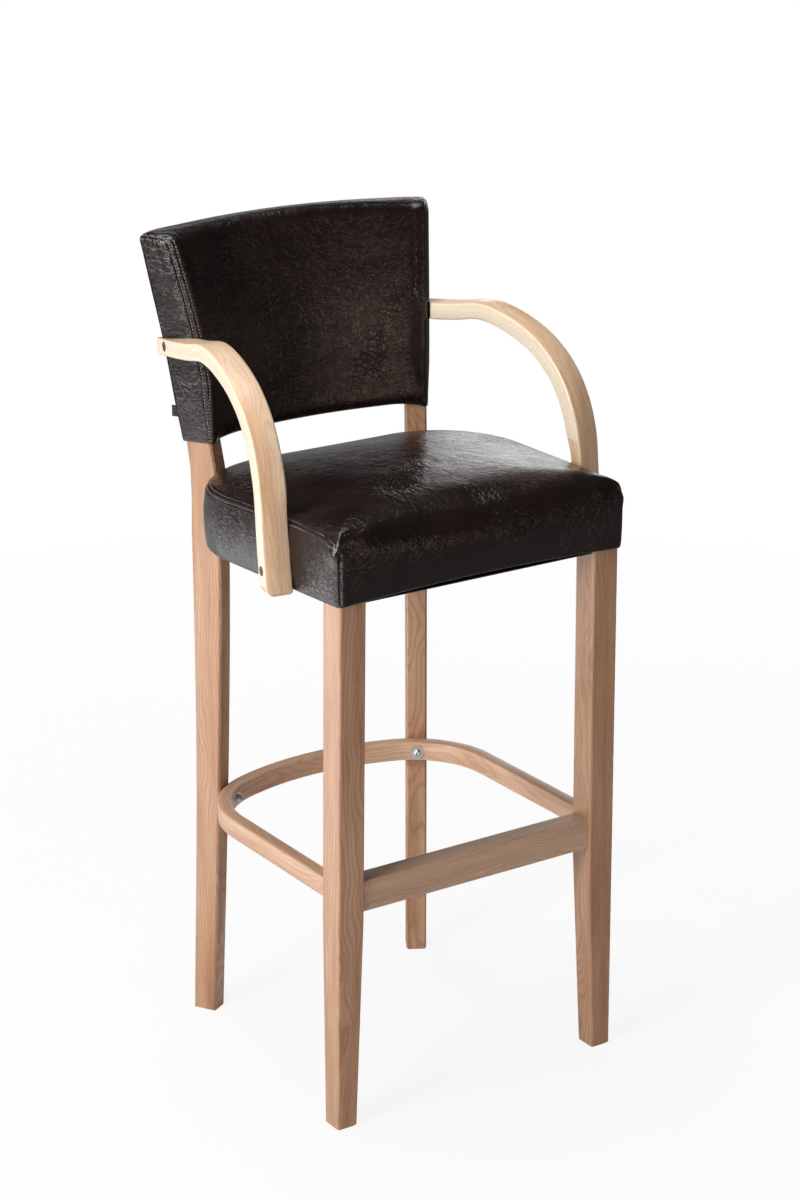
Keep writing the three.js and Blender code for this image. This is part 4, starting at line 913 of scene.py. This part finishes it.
BACK_BOTTOM = 815.0
BACK_TOP = 1085.0
BACK_LIFT, BACK_LIFT_SHARE = 6.0, 0.12
BACK_CREST = 6.0
BACK_BOW, BACK_BOW_LOW, BACK_BOW_GAIN = 24.0, 0.86, 0.2
BACK_REAR_BOW = 12.0
BACK_PAD, BACK_PAD_SHARE = 11.0, 0.3
BACK_SIDE_FULL, BACK_SIDE_FULL_SHARE, BACK_SIDE_MIDDLE = 2.4, 0.2, 0.4
BACK_SOFT = 5.0
# Places round the front corner, behind the corner's front and in from its side: at the hem and higher up
BACK_CORNER_LOW = [(-5.0, 15.0), (-4.0, 6.0), (-1.5, 1.5), (1.5, 0.0)]
BACK_CORNER = [(-5.0, 25.0), (-4.5, 12.5), (-1.7, 3.3), (6.5, 0.0)]
BACK_ROUND_SHARE, BACK_ROLL_MOST = 0.3, 40
# The lift and the belly of the hem fade out toward the rear corners, and the belly turns round at the rear
BACK_INNER_EDGE, BACK_INNER_FADE, BACK_REAR_BELLY = 1.6, 14, -0.6
BACK_BELLY, BACK_BELLY_HIGH = 2.6, 10.0
BACK_BULGE, BACK_BULGE_RISE, BACK_BULGE_HIGH, BACK_BULGE_FADE = 2.4, 16, 22, 60
BACK_COVER = 2.1
BACK_SLACK = 0.8
BACK_FRONT_SHARES = (0, 0.22, 0.44, 0.64, 0.82)
BACK_REAR_SHARES = (0.8, 0.6, 0.4, 0.2, 0)
# Steps in each part of the outline, from the middle of the front to the middle of the rear
BACK_FINE = [7, 7, 7, 7, 6, 6, 5, 5, 10, 10, 5, 4, 5, 5, 5, 5, 5]
# (height above the bottom, roll) round the hem, then the wall, the top's roll and its last levels
BACK_HEM = [(10, 6.5), (4, 5.5), (1.2, 4.2), (0, 2.4), (0.6, 1.0), (2.2, 0.2), (5, 0), (9, 0)]
BACK_WALL_FROM, BACK_WALL_TO, BACK_WALL_PARTS = BACK_BOTTOM + 14, BACK_TOP - 15, 40
BACK_ROLL_TOP, BACK_ROLL_RADIUS, BACK_ROLL_PARTS = BACK_TOP - 1, 11.0, 10
BACK_LAST_LEVELS = [(BACK_TOP - 0.6, 13.0), (BACK_TOP - 0.3, 14.8)]
BACK_PADDING_IN = 6.0
BACK_SWELL_CAP, BACK_SWELL_SHARE, BACK_SWELL_SPREAD = 8.0, 0.5, 130
BACK_HELD_BELOW, BACK_HELD_ABOVE, BACK_HELD_FIRST_RING = BACK_BOTTOM + BACK_LIFT + 7, BACK_TOP - 9, 4
BACK_SEAM_GRIP = 3.5
# The seam turns over the side where the top's roll passes this; the second row does so some rings lower
BACK_SEAM_ROLL, BACK_SECOND_LOWER = 3.2, 3
BACK_FIRST_SEAM_RING = 5
BACK_SECOND_ROW = 5
BACK_FIRST_SEAM, BACK_SECOND_SEAM, BACK_REAR_SEAM = (1.4, 1.3, 0.4), (1.1, 1.1, 0.3), (0.8, 1.0, 0.2)
BACK_PADDING_FIRST_RING, BACK_PADDING_LOWER = 10, 2
BACK_FRONT_COLUMN = sum(BACK_FINE[:7]) + 1
BACK_REAR_COLUMN = sum(BACK_FINE[:10]) + 2


def back_half(height, roll):
    """Coarse outline of one plan section, from the middle of the front to the middle of the rear."""
    level = min(height, LEG_HEIGHT)
    station = 8.0
    lean = (height - level) * (leg_front(level) - leg_front(level - station)) / station
    rise = clamp((height - BACK_BOTTOM) / (BACK_TOP - BACK_BOTTOM))
    padded = BACK_COVER + BACK_PAD * min(rise / BACK_PAD_SHARE, 1)
    front = leg_front(level) + lean - padded + roll
    rear = leg_rear(level) + lean + BACK_COVER + BACK_SLACK - roll
    out = LEG_PLANE_OUT + BACK_COVER * (1 + rise) - roll / 2
    full = BACK_SIDE_FULL * min(rise / BACK_SIDE_FULL_SHARE, 1)
    rounded = ease(rise / BACK_ROUND_SHARE)
    left = 1 - roll / BACK_ROLL_MOST
    corner = []
    for tight, broad in zip(BACK_CORNER_LOW, BACK_CORNER):
        behind, inside = (lerp(a, b, rounded) * left for a, b in zip(tight, broad))
        corner.append(leg_place(front + behind, out - inside, height))
    corner += [
        leg_place(lerp(front, rear, BACK_SIDE_MIDDLE), out + full, height),
        leg_place(rear - BACK_SOFT * 0.5, out, height),
        leg_place(rear, out - BACK_SOFT * 0.5, height),
        leg_place(rear, LEG_PLANE_OUT - LEG_PLANK, height),
    ]
    first, last = corner[0], corner[-1]
    bow = BACK_BOW * (BACK_BOW_LOW + BACK_BOW_GAIN * rise)
    half = [Vector((first.x * s, first.y + bow * (1 - s * s), height)) for s in BACK_FRONT_SHARES]
    half += corner
    half += [Vector((last.x * s, last.y + BACK_REAR_BOW * (1 - s * s), height)) for s in BACK_REAR_SHARES]
    lift = BACK_LIFT * max(1 - rise / BACK_LIFT_SHARE, 0)
    up = height - BACK_BOTTOM
    low = clamp(1 - up / BACK_BELLY_HIGH)
    belly = BACK_BELLY * (1 - math.sqrt(1 - low * low))
    belly -= BACK_BULGE * ease(up / BACK_BULGE_RISE) * (1 - ease((up - BACK_BULGE_HIGH) / BACK_BULGE_FADE))
    for i, point in enumerate(half):
        share = point.x / first.x
        inner = ease((last.x - BACK_INNER_EDGE - point.x) / BACK_INNER_FADE)
        point.z += BACK_CREST * rise ** 4 * max(1 - share * share, 0) + lift * inner
        point.y += belly * inner * (1 if i < len(half) / 2 else BACK_REAR_BELLY)
    return half


def catmull(a, b, c, d, t):
    t2, t3 = t * t, t * t * t
    return 0.5 * ((2 * b) + (c - a) * t + (2 * a - 5 * b + 4 * c - d) * t2 + (3 * b - a - 3 * c + d) * t3)


def finer(half):
    """The coarse outline drawn as a smooth curve with a fixed number of steps in each part."""
    points = []
    ends = [mirrored(half[1])] + half + [mirrored(half[-2])]
    for i, steps in enumerate(BACK_FINE):
        points += [catmull(*ends[i:i + 4], k / steps) for k in range(steps)]
    points.append(half[-1])
    return points


def back_levels():
    """(height, roll) of each ring, from the bottom hem to the top."""
    levels = [(BACK_BOTTOM + up, roll) for up, roll in BACK_HEM]
    for i in range(BACK_WALL_PARTS + 1):
        levels.append((lerp(BACK_WALL_FROM, BACK_WALL_TO, i / BACK_WALL_PARTS), 0))
    for i in range(1, BACK_ROLL_PARTS + 1):
        angle = math.pi / 2 * i / BACK_ROLL_PARTS
        height = BACK_ROLL_TOP - BACK_ROLL_RADIUS + BACK_ROLL_RADIUS * math.sin(angle)
        levels.append((height, BACK_ROLL_RADIUS * (1 - math.cos(angle))))
    return levels + BACK_LAST_LEVELS


def swell_back(rings, top_ring):
    around = len(rings[0])
    columns = []
    for column in (BACK_FRONT_COLUMN, BACK_FRONT_COLUMN + BACK_SECOND_ROW, BACK_REAR_COLUMN):
        columns += [column, around - column]
    held = point_tree([ring[i] for ring in rings[BACK_HELD_FIRST_RING:top_ring] for i in columns])

    def fixed(place):
        ends = place.z < BACK_HELD_BELOW or place.z > BACK_HELD_ABOVE
        return ends or held.find(place)[2] < BACK_SEAM_GRIP

    faces = ring_faces(len(rings), around) + end_faces(len(rings), around)
    moves = cloth_moves(all_points(rings), faces, fixed, BACK_SWELL_CAP)
    carry_moves(rings, moves, BACK_SWELL_SHARE, BACK_SWELL_SPREAD)


def back_seam(rings, top, column, side):
    """A seam up the front edge at a column and over the side boxing to its rear edge."""
    around = len(rings[0])
    places = [(k, column) for k in range(BACK_FIRST_SEAM_RING, top)]
    places += [(top, i) for i in range(column + 1, BACK_REAR_COLUMN + 1)]
    return round_path([rings[k][i if side > 0 else (around - i) % around] for k, i in places])


def back_cushion(leather, thread):
    levels = back_levels()
    rings = [mirrored_half(finer(back_half(height, roll))) for height, roll in levels]
    around = len(rings[0])
    rolled = [k for k, (height, roll) in enumerate(levels) if height > BACK_WALL_TO and roll > BACK_SEAM_ROLL]
    top_ring = rolled[0]
    swell_back(rings, top_ring)
    seams = []
    stitched = []
    for side in (1, -1):
        rear_column = BACK_REAR_COLUMN if side > 0 else around - BACK_REAR_COLUMN
        first_row = back_seam(rings, top_ring, BACK_FRONT_COLUMN, side)
        second_top = top_ring - BACK_SECOND_LOWER
        second_row = back_seam(rings, second_top, BACK_FRONT_COLUMN + BACK_SECOND_ROW, side)
        rear_row = [ring[rear_column].copy() for ring in rings[BACK_FIRST_SEAM_RING:top_ring]]
        seams += [(first_row, *BACK_FIRST_SEAM), (second_row, *BACK_SECOND_SEAM), (rear_row, *BACK_REAR_SEAM)]
        stitched += [first_row, second_row]
    padded = rings[BACK_PADDING_FIRST_RING:top_ring - BACK_PADDING_LOWER]
    padding("back_padding", padded, "back_foam", end_faces, BACK_PADDING_IN)
    moved = push_by_seams(rings, seams)
    faces = ring_faces(len(moved), around) + end_faces(len(moved), around)
    cover("back_cushion", moved, faces, leather, "back_cover")
    stitches("back_stitching", stitched, moved, thread)


# Bent wood: arms and foot ring, drawn as smooth sweeps in place of the faceted solids

BEND_STEPS, BEND_PASSES = 24, 24
# Near both ends the places of a bend are more in number and crowd toward the end
FOOT_PLACES, FOOT_PARTS, FOOT_CROWD = 4, 24, 1.3
TIP_PARTS, TIP_CROWD = 8, 1.5
SECTION_STEPS = 4
SHARP_ANGLE = math.radians(38)
BORE_SIDES = 40

ARM_TOE = math.radians(8.6)
ARM_BACK = Vector((-math.sin(ARM_TOE), math.cos(ARM_TOE), 0))
ARM_OUT = Vector((math.cos(ARM_TOE), math.sin(ARM_TOE), 0))
ARM_MID_X, ARM_WIDE, ARM_THICK, ARM_ROUND, ARM_END_ROUND = 218.6, 36.0, 22.5, 3.2, 4.5
ARM_REAR, ARM_FRONT, ARM_FOOT, ARM_RISE = 217.0, 127.0, 698.5, 261.0
ARM_STEPS = 150
ARM_FOOT_ROUND, ARM_TIP, ARM_LEG_GAP, ARM_SEAT_GAP = 17.0, 6.5, 5.6, 0.4
# The foot keeps clear of the seat's side up to here, and the trimmed face fades out over this height
ARM_CLEAR, ARM_CLEAR_FADE = 785.0, 45.0
ARM_BOLTS = [(188.0, 940.5), (-122.6, 730.5)]
CAP_ACROSS, CAP_ROOM, CAP_RECESS, BORE_OVERRUN = 12.0, 0.3, 2.4, 6.0
ARM_LINE_SHARES = [
    (0, 0), (0.014, 0.12), (0.031, 0.29), (0.043, 0.475), (0.073, 0.61), (0.122, 0.732),
    (0.189, 0.829), (0.291, 0.916), (0.427, 0.977), (0.52, 0.998), (0.575, 0.998),
    (0.66, 0.972), (0.76, 0.95), (0.89, 0.926), (1, 0.908),
]
ARM_SEED, HOOP_SEED = 21, 11

RING_HALF, RING_BEND, RING_START, RING_ANGLE = 208.0, 128.5, 49.0, math.radians(70)
RING_WIDE, RING_BOTTOM, RING_HIGH, RING_ROUND, RING_END_ROUND = 19.0, 308.0, 27.0, 2.6, 0.6
RING_FRONT = -182.3
RING_SIDE_PARTS, RING_BEND_PARTS, RING_REAR_PARTS = 30, 60, 30
WASHER_ACROSS, WASHER_ROOM, WASHER_RECESS, WASHER_DROP, WASHER_BORE = 18.4, 0.6, 1.1, 1.6, 20.0


def set_grain(obj, path, upright):
    """Stores each vertex's place along and across grain that follows a path in millimetres.

    upright is the direction across the wood's wide face.
    """
    path = [Vector((p.x, p.y + SHIFT_Y, p.z)) * MM for p in path]
    walked = [0.0]
    for before, here in zip(path, path[1:]):
        walked.append(walked[-1] + (here - before).length)
    tree = point_tree(path)
    layer = obj.data.attributes.new("grain", "FLOAT_VECTOR", "POINT")
    for i, vertex in enumerate(obj.data.vertices):
        _, index, _ = tree.find(vertex.co)
        direction = (path[min(index + 1, len(path) - 1)] - path[max(index - 1, 0)]).normalized()
        offset = vertex.co - path[index]
        normal = upright.cross(direction).normalized()
        along = walked[index] + offset.dot(direction)
        layer.data[i].vector = Vector((along, offset.dot(upright), offset.dot(normal)))


def bent_curve(points, steps):
    """A smoothed centripetal curve through the points, evenly spaced and finer at both ends."""
    ends = [points[0] * 2 - points[1]] + points + [points[-1] * 2 - points[-2]]
    dense = []
    for a, b, c, d in zip(ends, ends[1:], ends[2:], ends[3:]):
        before, between, after = ((q - p).length ** 0.5 for p, q in ((a, b), (b, c), (c, d)))
        slope_in = ((b - a) / before - (c - a) / (before + between) + (c - b) / between) * between
        slope_out = ((c - b) / between - (d - b) / (between + after) + (d - c) / after) * between
        dense += [hermite(b, slope_in, c, slope_out, k / BEND_STEPS) for k in range(BEND_STEPS)]
    dense.append(points[-1].copy())
    pitch = sum((q - p).length for p, q in zip(dense, dense[1:])) / steps
    dense = [dense[0]] + [place for place, _ in resample(dense, pitch)] + [dense[-1]]
    dense = round_path(dense, BEND_PASSES)
    inner = [place for place, _ in resample(dense, pitch)]
    foot = [dense[0].lerp(inner[FOOT_PLACES], (k / FOOT_PARTS) ** FOOT_CROWD) for k in range(FOOT_PARTS)]
    tip = [dense[-1].lerp(inner[-2], (k / TIP_PARTS) ** TIP_CROWD) for k in range(TIP_PARTS)]
    return foot + inner[FOOT_PLACES:-1] + tip[::-1]


def rounded_section(half_wide, half_thick, radius):
    section = []
    corners = [(1, -1, -math.pi / 2), (1, 1, 0), (-1, 1, math.pi / 2), (-1, -1, math.pi)]
    for side, face, start in corners:
        for k in range(SECTION_STEPS + 1):
            angle = start + math.pi / 2 * k / SECTION_STEPS
            wide = side * (half_wide - radius) + radius * math.cos(angle)
            section.append((wide, face * (half_thick - radius) + radius * math.sin(angle)))
    return section


def sweep(name, path, side, section, end_round, material, cutters, trim=None):
    """A bent bar: the section drawn at every place of the path, its ends eased, then trimmed and bored."""
    rings = []
    count = len(path)
    for i, place in enumerate(path):
        direction = (path[min(i + 1, count - 1)] - path[max(i - 1, 0)]).normalized()
        normal = side.cross(direction).normalized()
        to_end = min((place - path[0]).length, (place - path[-1]).length)
        short = max(end_round - to_end, 0)
        shrink = end_round - math.sqrt(end_round ** 2 - short ** 2)
        wide = 1 - shrink / max(u for u, _ in section)
        thick = 1 - shrink / max(v for _, v in section)
        ring = [place + side * (u * wide) + normal * (v * thick) for u, v in section]
        rings.append([trim(point) for point in ring] if trim else ring)
    faces = ring_faces(count, len(section)) + flat_ends(count, len(section))
    bar = make_object(name, all_points(rings), faces, material)
    for cutter in cutters:
        bore(bar, *cutter)
    bar.data.set_sharp_from_angle(angle=SHARP_ANGLE)
    return bar


def bore(bar, centre, axis, radius, reach):
    """Cuts a round recess from centre along axis, as deep as reach."""
    across = axis.cross(UP).normalized()
    points = []
    for far in (0, reach):
        for k in range(BORE_SIDES):
            angle = 2 * math.pi * k / BORE_SIDES
            points.append(centre + axis * far + (across * math.cos(angle) + UP * math.sin(angle)) * radius)
    faces = turned_over(ring_faces(2, BORE_SIDES) + flat_ends(2, BORE_SIDES))
    cutter = plain_object("cutter", [metres(p) for p in points], faces)
    modifier = bar.modifiers.new("bore", "BOOLEAN")
    modifier.operation = "DIFFERENCE"
    modifier.solver = "EXACT"
    modifier.object = cutter
    graph = bpy.context.evaluated_depsgraph_get()
    cut_mesh = bpy.data.meshes.new_from_object(bar.evaluated_get(graph))
    bar.modifiers.remove(modifier)
    bar.data = cut_mesh
    bpy.data.objects.remove(cutter)


def arm_place(along, height, out):
    return Vector((ARM_MID_X, 0, height)) + ARM_BACK * along + ARM_OUT * out


def arm_centre_line():
    long = ARM_REAR + ARM_FRONT
    points = [
        arm_place((reach * long - ARM_FRONT) / math.cos(ARM_TOE), ARM_FOOT + rise * ARM_RISE, 0)
        for reach, rise in ARM_LINE_SHARES
    ]
    return bent_curve(points, ARM_STEPS)


def outside(point, plane_normal, plane_reach, most):
    """Moves a point out along the arm's width until it clears an upright plane."""
    short = plane_reach - point.dot(plane_normal)
    if short <= 0:
        return point
    out = (point - arm_place(0, point.z, 0)).dot(ARM_OUT)
    return point + ARM_OUT * min(short / ARM_OUT.dot(plane_normal), max(most - out, 0))


def trim_arm(point):
    """Rounds the outer corner of the foot, and keeps the arm clear of the rear leg and the seat's side."""
    out = (point - arm_place(0, point.z, 0)).dot(ARM_OUT)
    up = point.z - ARM_FOOT
    if up < ARM_FOOT_ROUND:
        reach = math.sqrt(max(ARM_FOOT_ROUND ** 2 - (ARM_FOOT_ROUND - up) ** 2, 0))
        most = ARM_WIDE / 2 - ARM_FOOT_ROUND + reach
        if out > most:
            point = point - ARM_OUT * (out - most)
    if point.z > ARM_FOOT + ARM_RISE / 2:
        return outside(point, LEG_OUT, LEG_PLANE_OUT + ARM_LEG_GAP, ARM_WIDE / 2 - ARM_TIP)
    nose = Vector((SEAT_HALF - SEAT_NOSE, -SEAT_FRONT + SEAT_NOSE, 0))
    side_reach = SEAT_SIDE_NORMAL.dot(nose) + SEAT_NOSE
    cleared = outside(point, SEAT_SIDE_NORMAL, side_reach + ARM_SEAT_GAP, ARM_WIDE / 2)
    return cleared.lerp(point, ease((point.z - ARM_CLEAR) / ARM_CLEAR_FADE))


def mirror_piece(name, source, material):
    """The left copy of a right-hand piece."""
    mesh = source.data.copy()
    mesh.name = name
    mesh.transform(Matrix.Scale(-1, 4, (1, 0, 0)))
    mesh.flip_normals()
    mesh.materials.clear()
    mesh.materials.append(material)
    made = link_object(name, mesh)
    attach(made, "root")
    return made


def arms():
    path = arm_centre_line()
    section = rounded_section(ARM_WIDE / 2, ARM_THICK / 2, ARM_ROUND)
    cutters = []
    for y, z in ARM_BOLTS:
        centre = arm_place(y / math.cos(ARM_TOE), z, ARM_WIDE / 2 - CAP_RECESS)
        cutters.append((centre, ARM_OUT, CAP_ACROSS / 2 + CAP_ROOM, CAP_RECESS + BORE_OVERRUN))
    materials = [
        wood_material(f"wood_arm_{side}", ARM_SEED + i, ARM_TONES, edge=ARM_EDGE_TONE, figure=ARM_FIGURE)
        for i, side in enumerate(("right", "left"))
    ]
    right = sweep("arm_right_bent", path, ARM_OUT, section, ARM_END_ROUND, materials[0], cutters, trim_arm)
    left = mirror_piece("arm_left_bent", right, materials[1])
    set_grain(left, [mirrored(p) for p in path], mirrored(ARM_OUT))
    set_grain(right, path, ARM_OUT)
    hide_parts("arm_right")
    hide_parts("arm_left")


def ring_half():
    """The middle line of the right half of the ring, from the front leg to the middle of the rear."""
    middle = RING_WIDE / 2
    bend = RING_BEND - middle
    bend_x = RING_HALF - RING_BEND
    rear = RING_BEND + bend_x / math.cos(RING_ANGLE) - middle
    rear_y = RING_START - bend_x * math.tan(RING_ANGLE)
    half = []
    for i in range(RING_SIDE_PARTS):
        half.append((RING_HALF - middle, lerp(RING_FRONT, RING_START, i / RING_SIDE_PARTS)))
    for i in range(RING_BEND_PARTS):
        angle = RING_ANGLE * i / RING_BEND_PARTS
        half.append((bend_x + bend * math.cos(angle), RING_START + bend * math.sin(angle)))
    for i in range(RING_REAR_PARTS + 1):
        angle = lerp(RING_ANGLE, math.pi / 2, i / RING_REAR_PARTS)
        half.append((rear * math.cos(angle), rear_y + rear * math.sin(angle)))
    return [Vector((x, y, RING_BOTTOM + RING_HIGH / 2)) for x, y in half]


def foot_ring():
    right = ring_half()
    path = right + [mirrored(p) for p in reversed(right[:-1])]
    section = rounded_section(RING_HIGH / 2, RING_WIDE / 2, RING_ROUND)
    bend_place = Vector((RING_HALF - RING_BEND, RING_START, 0))
    bolt_out = LEG_PLANE_OUT - LEG_PLANK / 2
    side = bolt_out - bend_place.dot(LEG_OUT)
    inner = bend_place.dot(LEG_BACK) + math.sqrt((RING_BEND - RING_WIDE) ** 2 - side ** 2)
    centre = leg_place(inner + WASHER_RECESS, bolt_out, RING_BOTTOM + RING_HIGH / 2 - WASHER_DROP)
    radius = WASHER_ACROSS / 2 + WASHER_ROOM
    cutters = [
        (centre, -LEG_BACK, radius, WASHER_BORE),
        (mirrored(centre), mirrored(-LEG_BACK), radius, WASHER_BORE),
    ]
    material = wood_material("wood_ring", HOOP_SEED, HOOP_TONES, joint=HOOP_JOINT)
    ring = sweep("foot_ring_bent", path, UP, section, RING_END_ROUND, material, cutters)
    set_grain(ring, path, UP)
    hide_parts("foot_ring")


# Camera and studio, in metres, degrees and watts

CAMERA_PLACE = Vector((-1969.2, -2993.4 + SHIFT_Y, 1826.9)) * MM
CAMERA_AZIMUTH, CAMERA_ELEVATION, CAMERA_ROLL = -33.695, 18.74, -0.21
IMAGE_HIGH, FOCAL_PIXELS, SENSOR = 1200, 2903.0, 36
FLOOR_RADIUS, FLOOR_SIDES = 60.0, 96
FLOOR_GREY, FLOOR_GREY_PALE, FLOOR_ROUGHNESS = (0.84, 0.84, 0.84), (0.88, 0.88, 0.88), 0.7
WHITE = (1, 1, 1, 1)
AMBIENT = 0.13
MIRRORED_DARK = 0.05
LAMP_TARGET = (0, 0, 0.75)
# Name, place, (width, height), power and color
LAMPS = [
    ("key", (-3.1, -0.7, 1.9), (1.4, 1.8), 112, (1, 1, 1)),
    ("fill", (0.8, -3.4, 1.2), (0.7, 1.0), 8.5, (1, 0.74, 0.57)),
    ("top", (-0.2, 0.5, 3.2), (1.6, 1.6), 44, (1, 1, 1)),
    ("rim", (2.7, 2.4, 1.15), (1.6, 0.9), 8, (1, 1, 1)),
]


def add_camera():
    azimuth, elevation = math.radians(CAMERA_AZIMUTH), math.radians(CAMERA_ELEVATION)
    flat = math.cos(elevation)
    back = Vector((math.sin(azimuth) * flat, -math.cos(azimuth) * flat, math.sin(elevation)))
    roll = Quaternion((0, 0, 1), math.radians(CAMERA_ROLL))
    data = bpy.data.cameras.new("camera")
    data.sensor_width = SENSOR
    data.lens = FOCAL_PIXELS * SENSOR / IMAGE_HIGH
    data.clip_start, data.clip_end = 0.1, 100
    camera = link_object("camera", data)
    camera.rotation_mode = "QUATERNION"
    camera.rotation_quaternion = (-back).to_track_quat("-Z", "Y") @ roll
    camera.location = CAMERA_PLACE
    bpy.context.scene.camera = camera


def add_lamp(name, place, size, power, color):
    data = bpy.data.lights.new(name, "AREA")
    data.shape = "RECTANGLE"
    data.size, data.size_y = size
    data.energy = power
    data.color = color
    lamp = link_object(name, data)
    lamp.location = place
    lamp.rotation_mode = "QUATERNION"
    lamp.rotation_quaternion = (Vector(LAMP_TARGET) - Vector(place)).to_track_quat("-Z", "Y")


def blend_shaders(tree, factor, first, second):
    made = node(tree, "ShaderNodeMixShader")
    for socket, value in zip(made.inputs, (factor, first, second)):
        tree.links.new(value, socket)
    return made.outputs[0]


def floor_material():
    """Pale floor: white to the camera apart from the shadow, and panels of light and dark to a mirror."""
    material, tree, shader = new_material("floor", FLOOR_GREY, FLOOR_ROUGHNESS)
    path = node(tree, "ShaderNodeLightPath").outputs
    place = object_place(tree)
    cloud = noise_node(tree, place, 3.0, 2.0)["Fac"]
    tree.links.new(even_ramp(tree, cloud, FLOOR_GREY, FLOOR_GREY_PALE), shader.inputs["Base Color"])
    shader.inputs["Specular IOR Level"].default_value = 0.0
    away = distance_out(tree, place)
    white = math_node(tree, "MINIMUM", line(tree, away, 0.06, 0.86), 1.0)
    glow = node(tree, "ShaderNodeEmission", {}, Color=WHITE, Strength=1.0)
    seen = times(tree, path["Is Camera Ray"], white)
    pale = blend_shaders(tree, seen, shader.outputs[0], glow.outputs[0])
    x, y, _ = split_axes(tree, place)
    left = limit(tree, line(tree, x, -1.2, -0.3))
    front_right = limit(tree, line(tree, y, -0.8, line(tree, x, 0.5, 0.1)), 0.0, 0.85)
    near = limit(tree, line(tree, away, -0.62, 2.06))
    lit = times(tree, left, line(tree, near, 3.2, 0.25))
    panels = node(tree, "ShaderNodeEmission", {}, Color=WHITE, Strength=math_node(tree, "ADD", lit, 0.12))
    mirrors = times(tree, path["Is Glossy Ray"], math_node(tree, "MAXIMUM", front_right, left))
    surface = blend_shaders(tree, mirrors, pale, panels.outputs[0])
    tree.links.new(surface, tree.nodes["Material Output"].inputs["Surface"])
    return material


def studio_world():
    """White to the camera, dim round the stool, and to a mirror pale low down behind it, dark elsewhere."""
    world = bpy.data.worlds.new("studio")
    world.use_nodes = True
    tree = world.node_tree
    background = tree.nodes["Background"]
    background.inputs["Color"].default_value = WHITE
    path = node(tree, "ShaderNodeLightPath").outputs
    x, y, z = split_axes(tree, node(tree, "ShaderNodeTexCoord").outputs["Generated"])
    rear_right = limit(tree, line(tree, line(tree, y, 0.67, times(tree, x, 0.74)), 12.0, -10.7))
    rear_left = limit(tree, line(tree, line(tree, y, 0.8, times(tree, x, -0.6)), 10.0, -8.6))
    low = limit(tree, line(tree, z, -7.0, 2.3))
    behind = times(tree, line(tree, rear_left, 1.3, rear_right), low)
    glossy = line(tree, behind, 0.95, MIRRORED_DARK)
    more = math_node(tree, "SUBTRACT", glossy, AMBIENT)
    ambient = line(tree, path["Is Glossy Ray"], more, AMBIENT)
    clear = math_node(tree, "SUBTRACT", 1.0, ambient)
    tree.links.new(line(tree, path["Is Camera Ray"], clear, ambient), background.inputs["Strength"])
    return world


def add_studio():
    points = []
    for i in range(FLOOR_SIDES):
        angle = 2 * math.pi * i / FLOOR_SIDES
        points.append((FLOOR_RADIUS * math.cos(angle), FLOOR_RADIUS * math.sin(angle), 0))
    floor = plain_object("floor", points, [tuple(range(FLOOR_SIDES))])
    floor.data.materials.append(floor_material())
    bpy.context.scene.world = studio_world()
    for lamp in LAMPS:
        add_lamp(*lamp)
    bpy.context.scene.view_settings.view_transform = "Standard"


add_camera()
leather = leather_material("leather")
thread = thread_material()
paint_nodes()
arms()
foot_ring()
seat_cushion(leather, thread)
back_cushion(leather, thread)
add_studio()
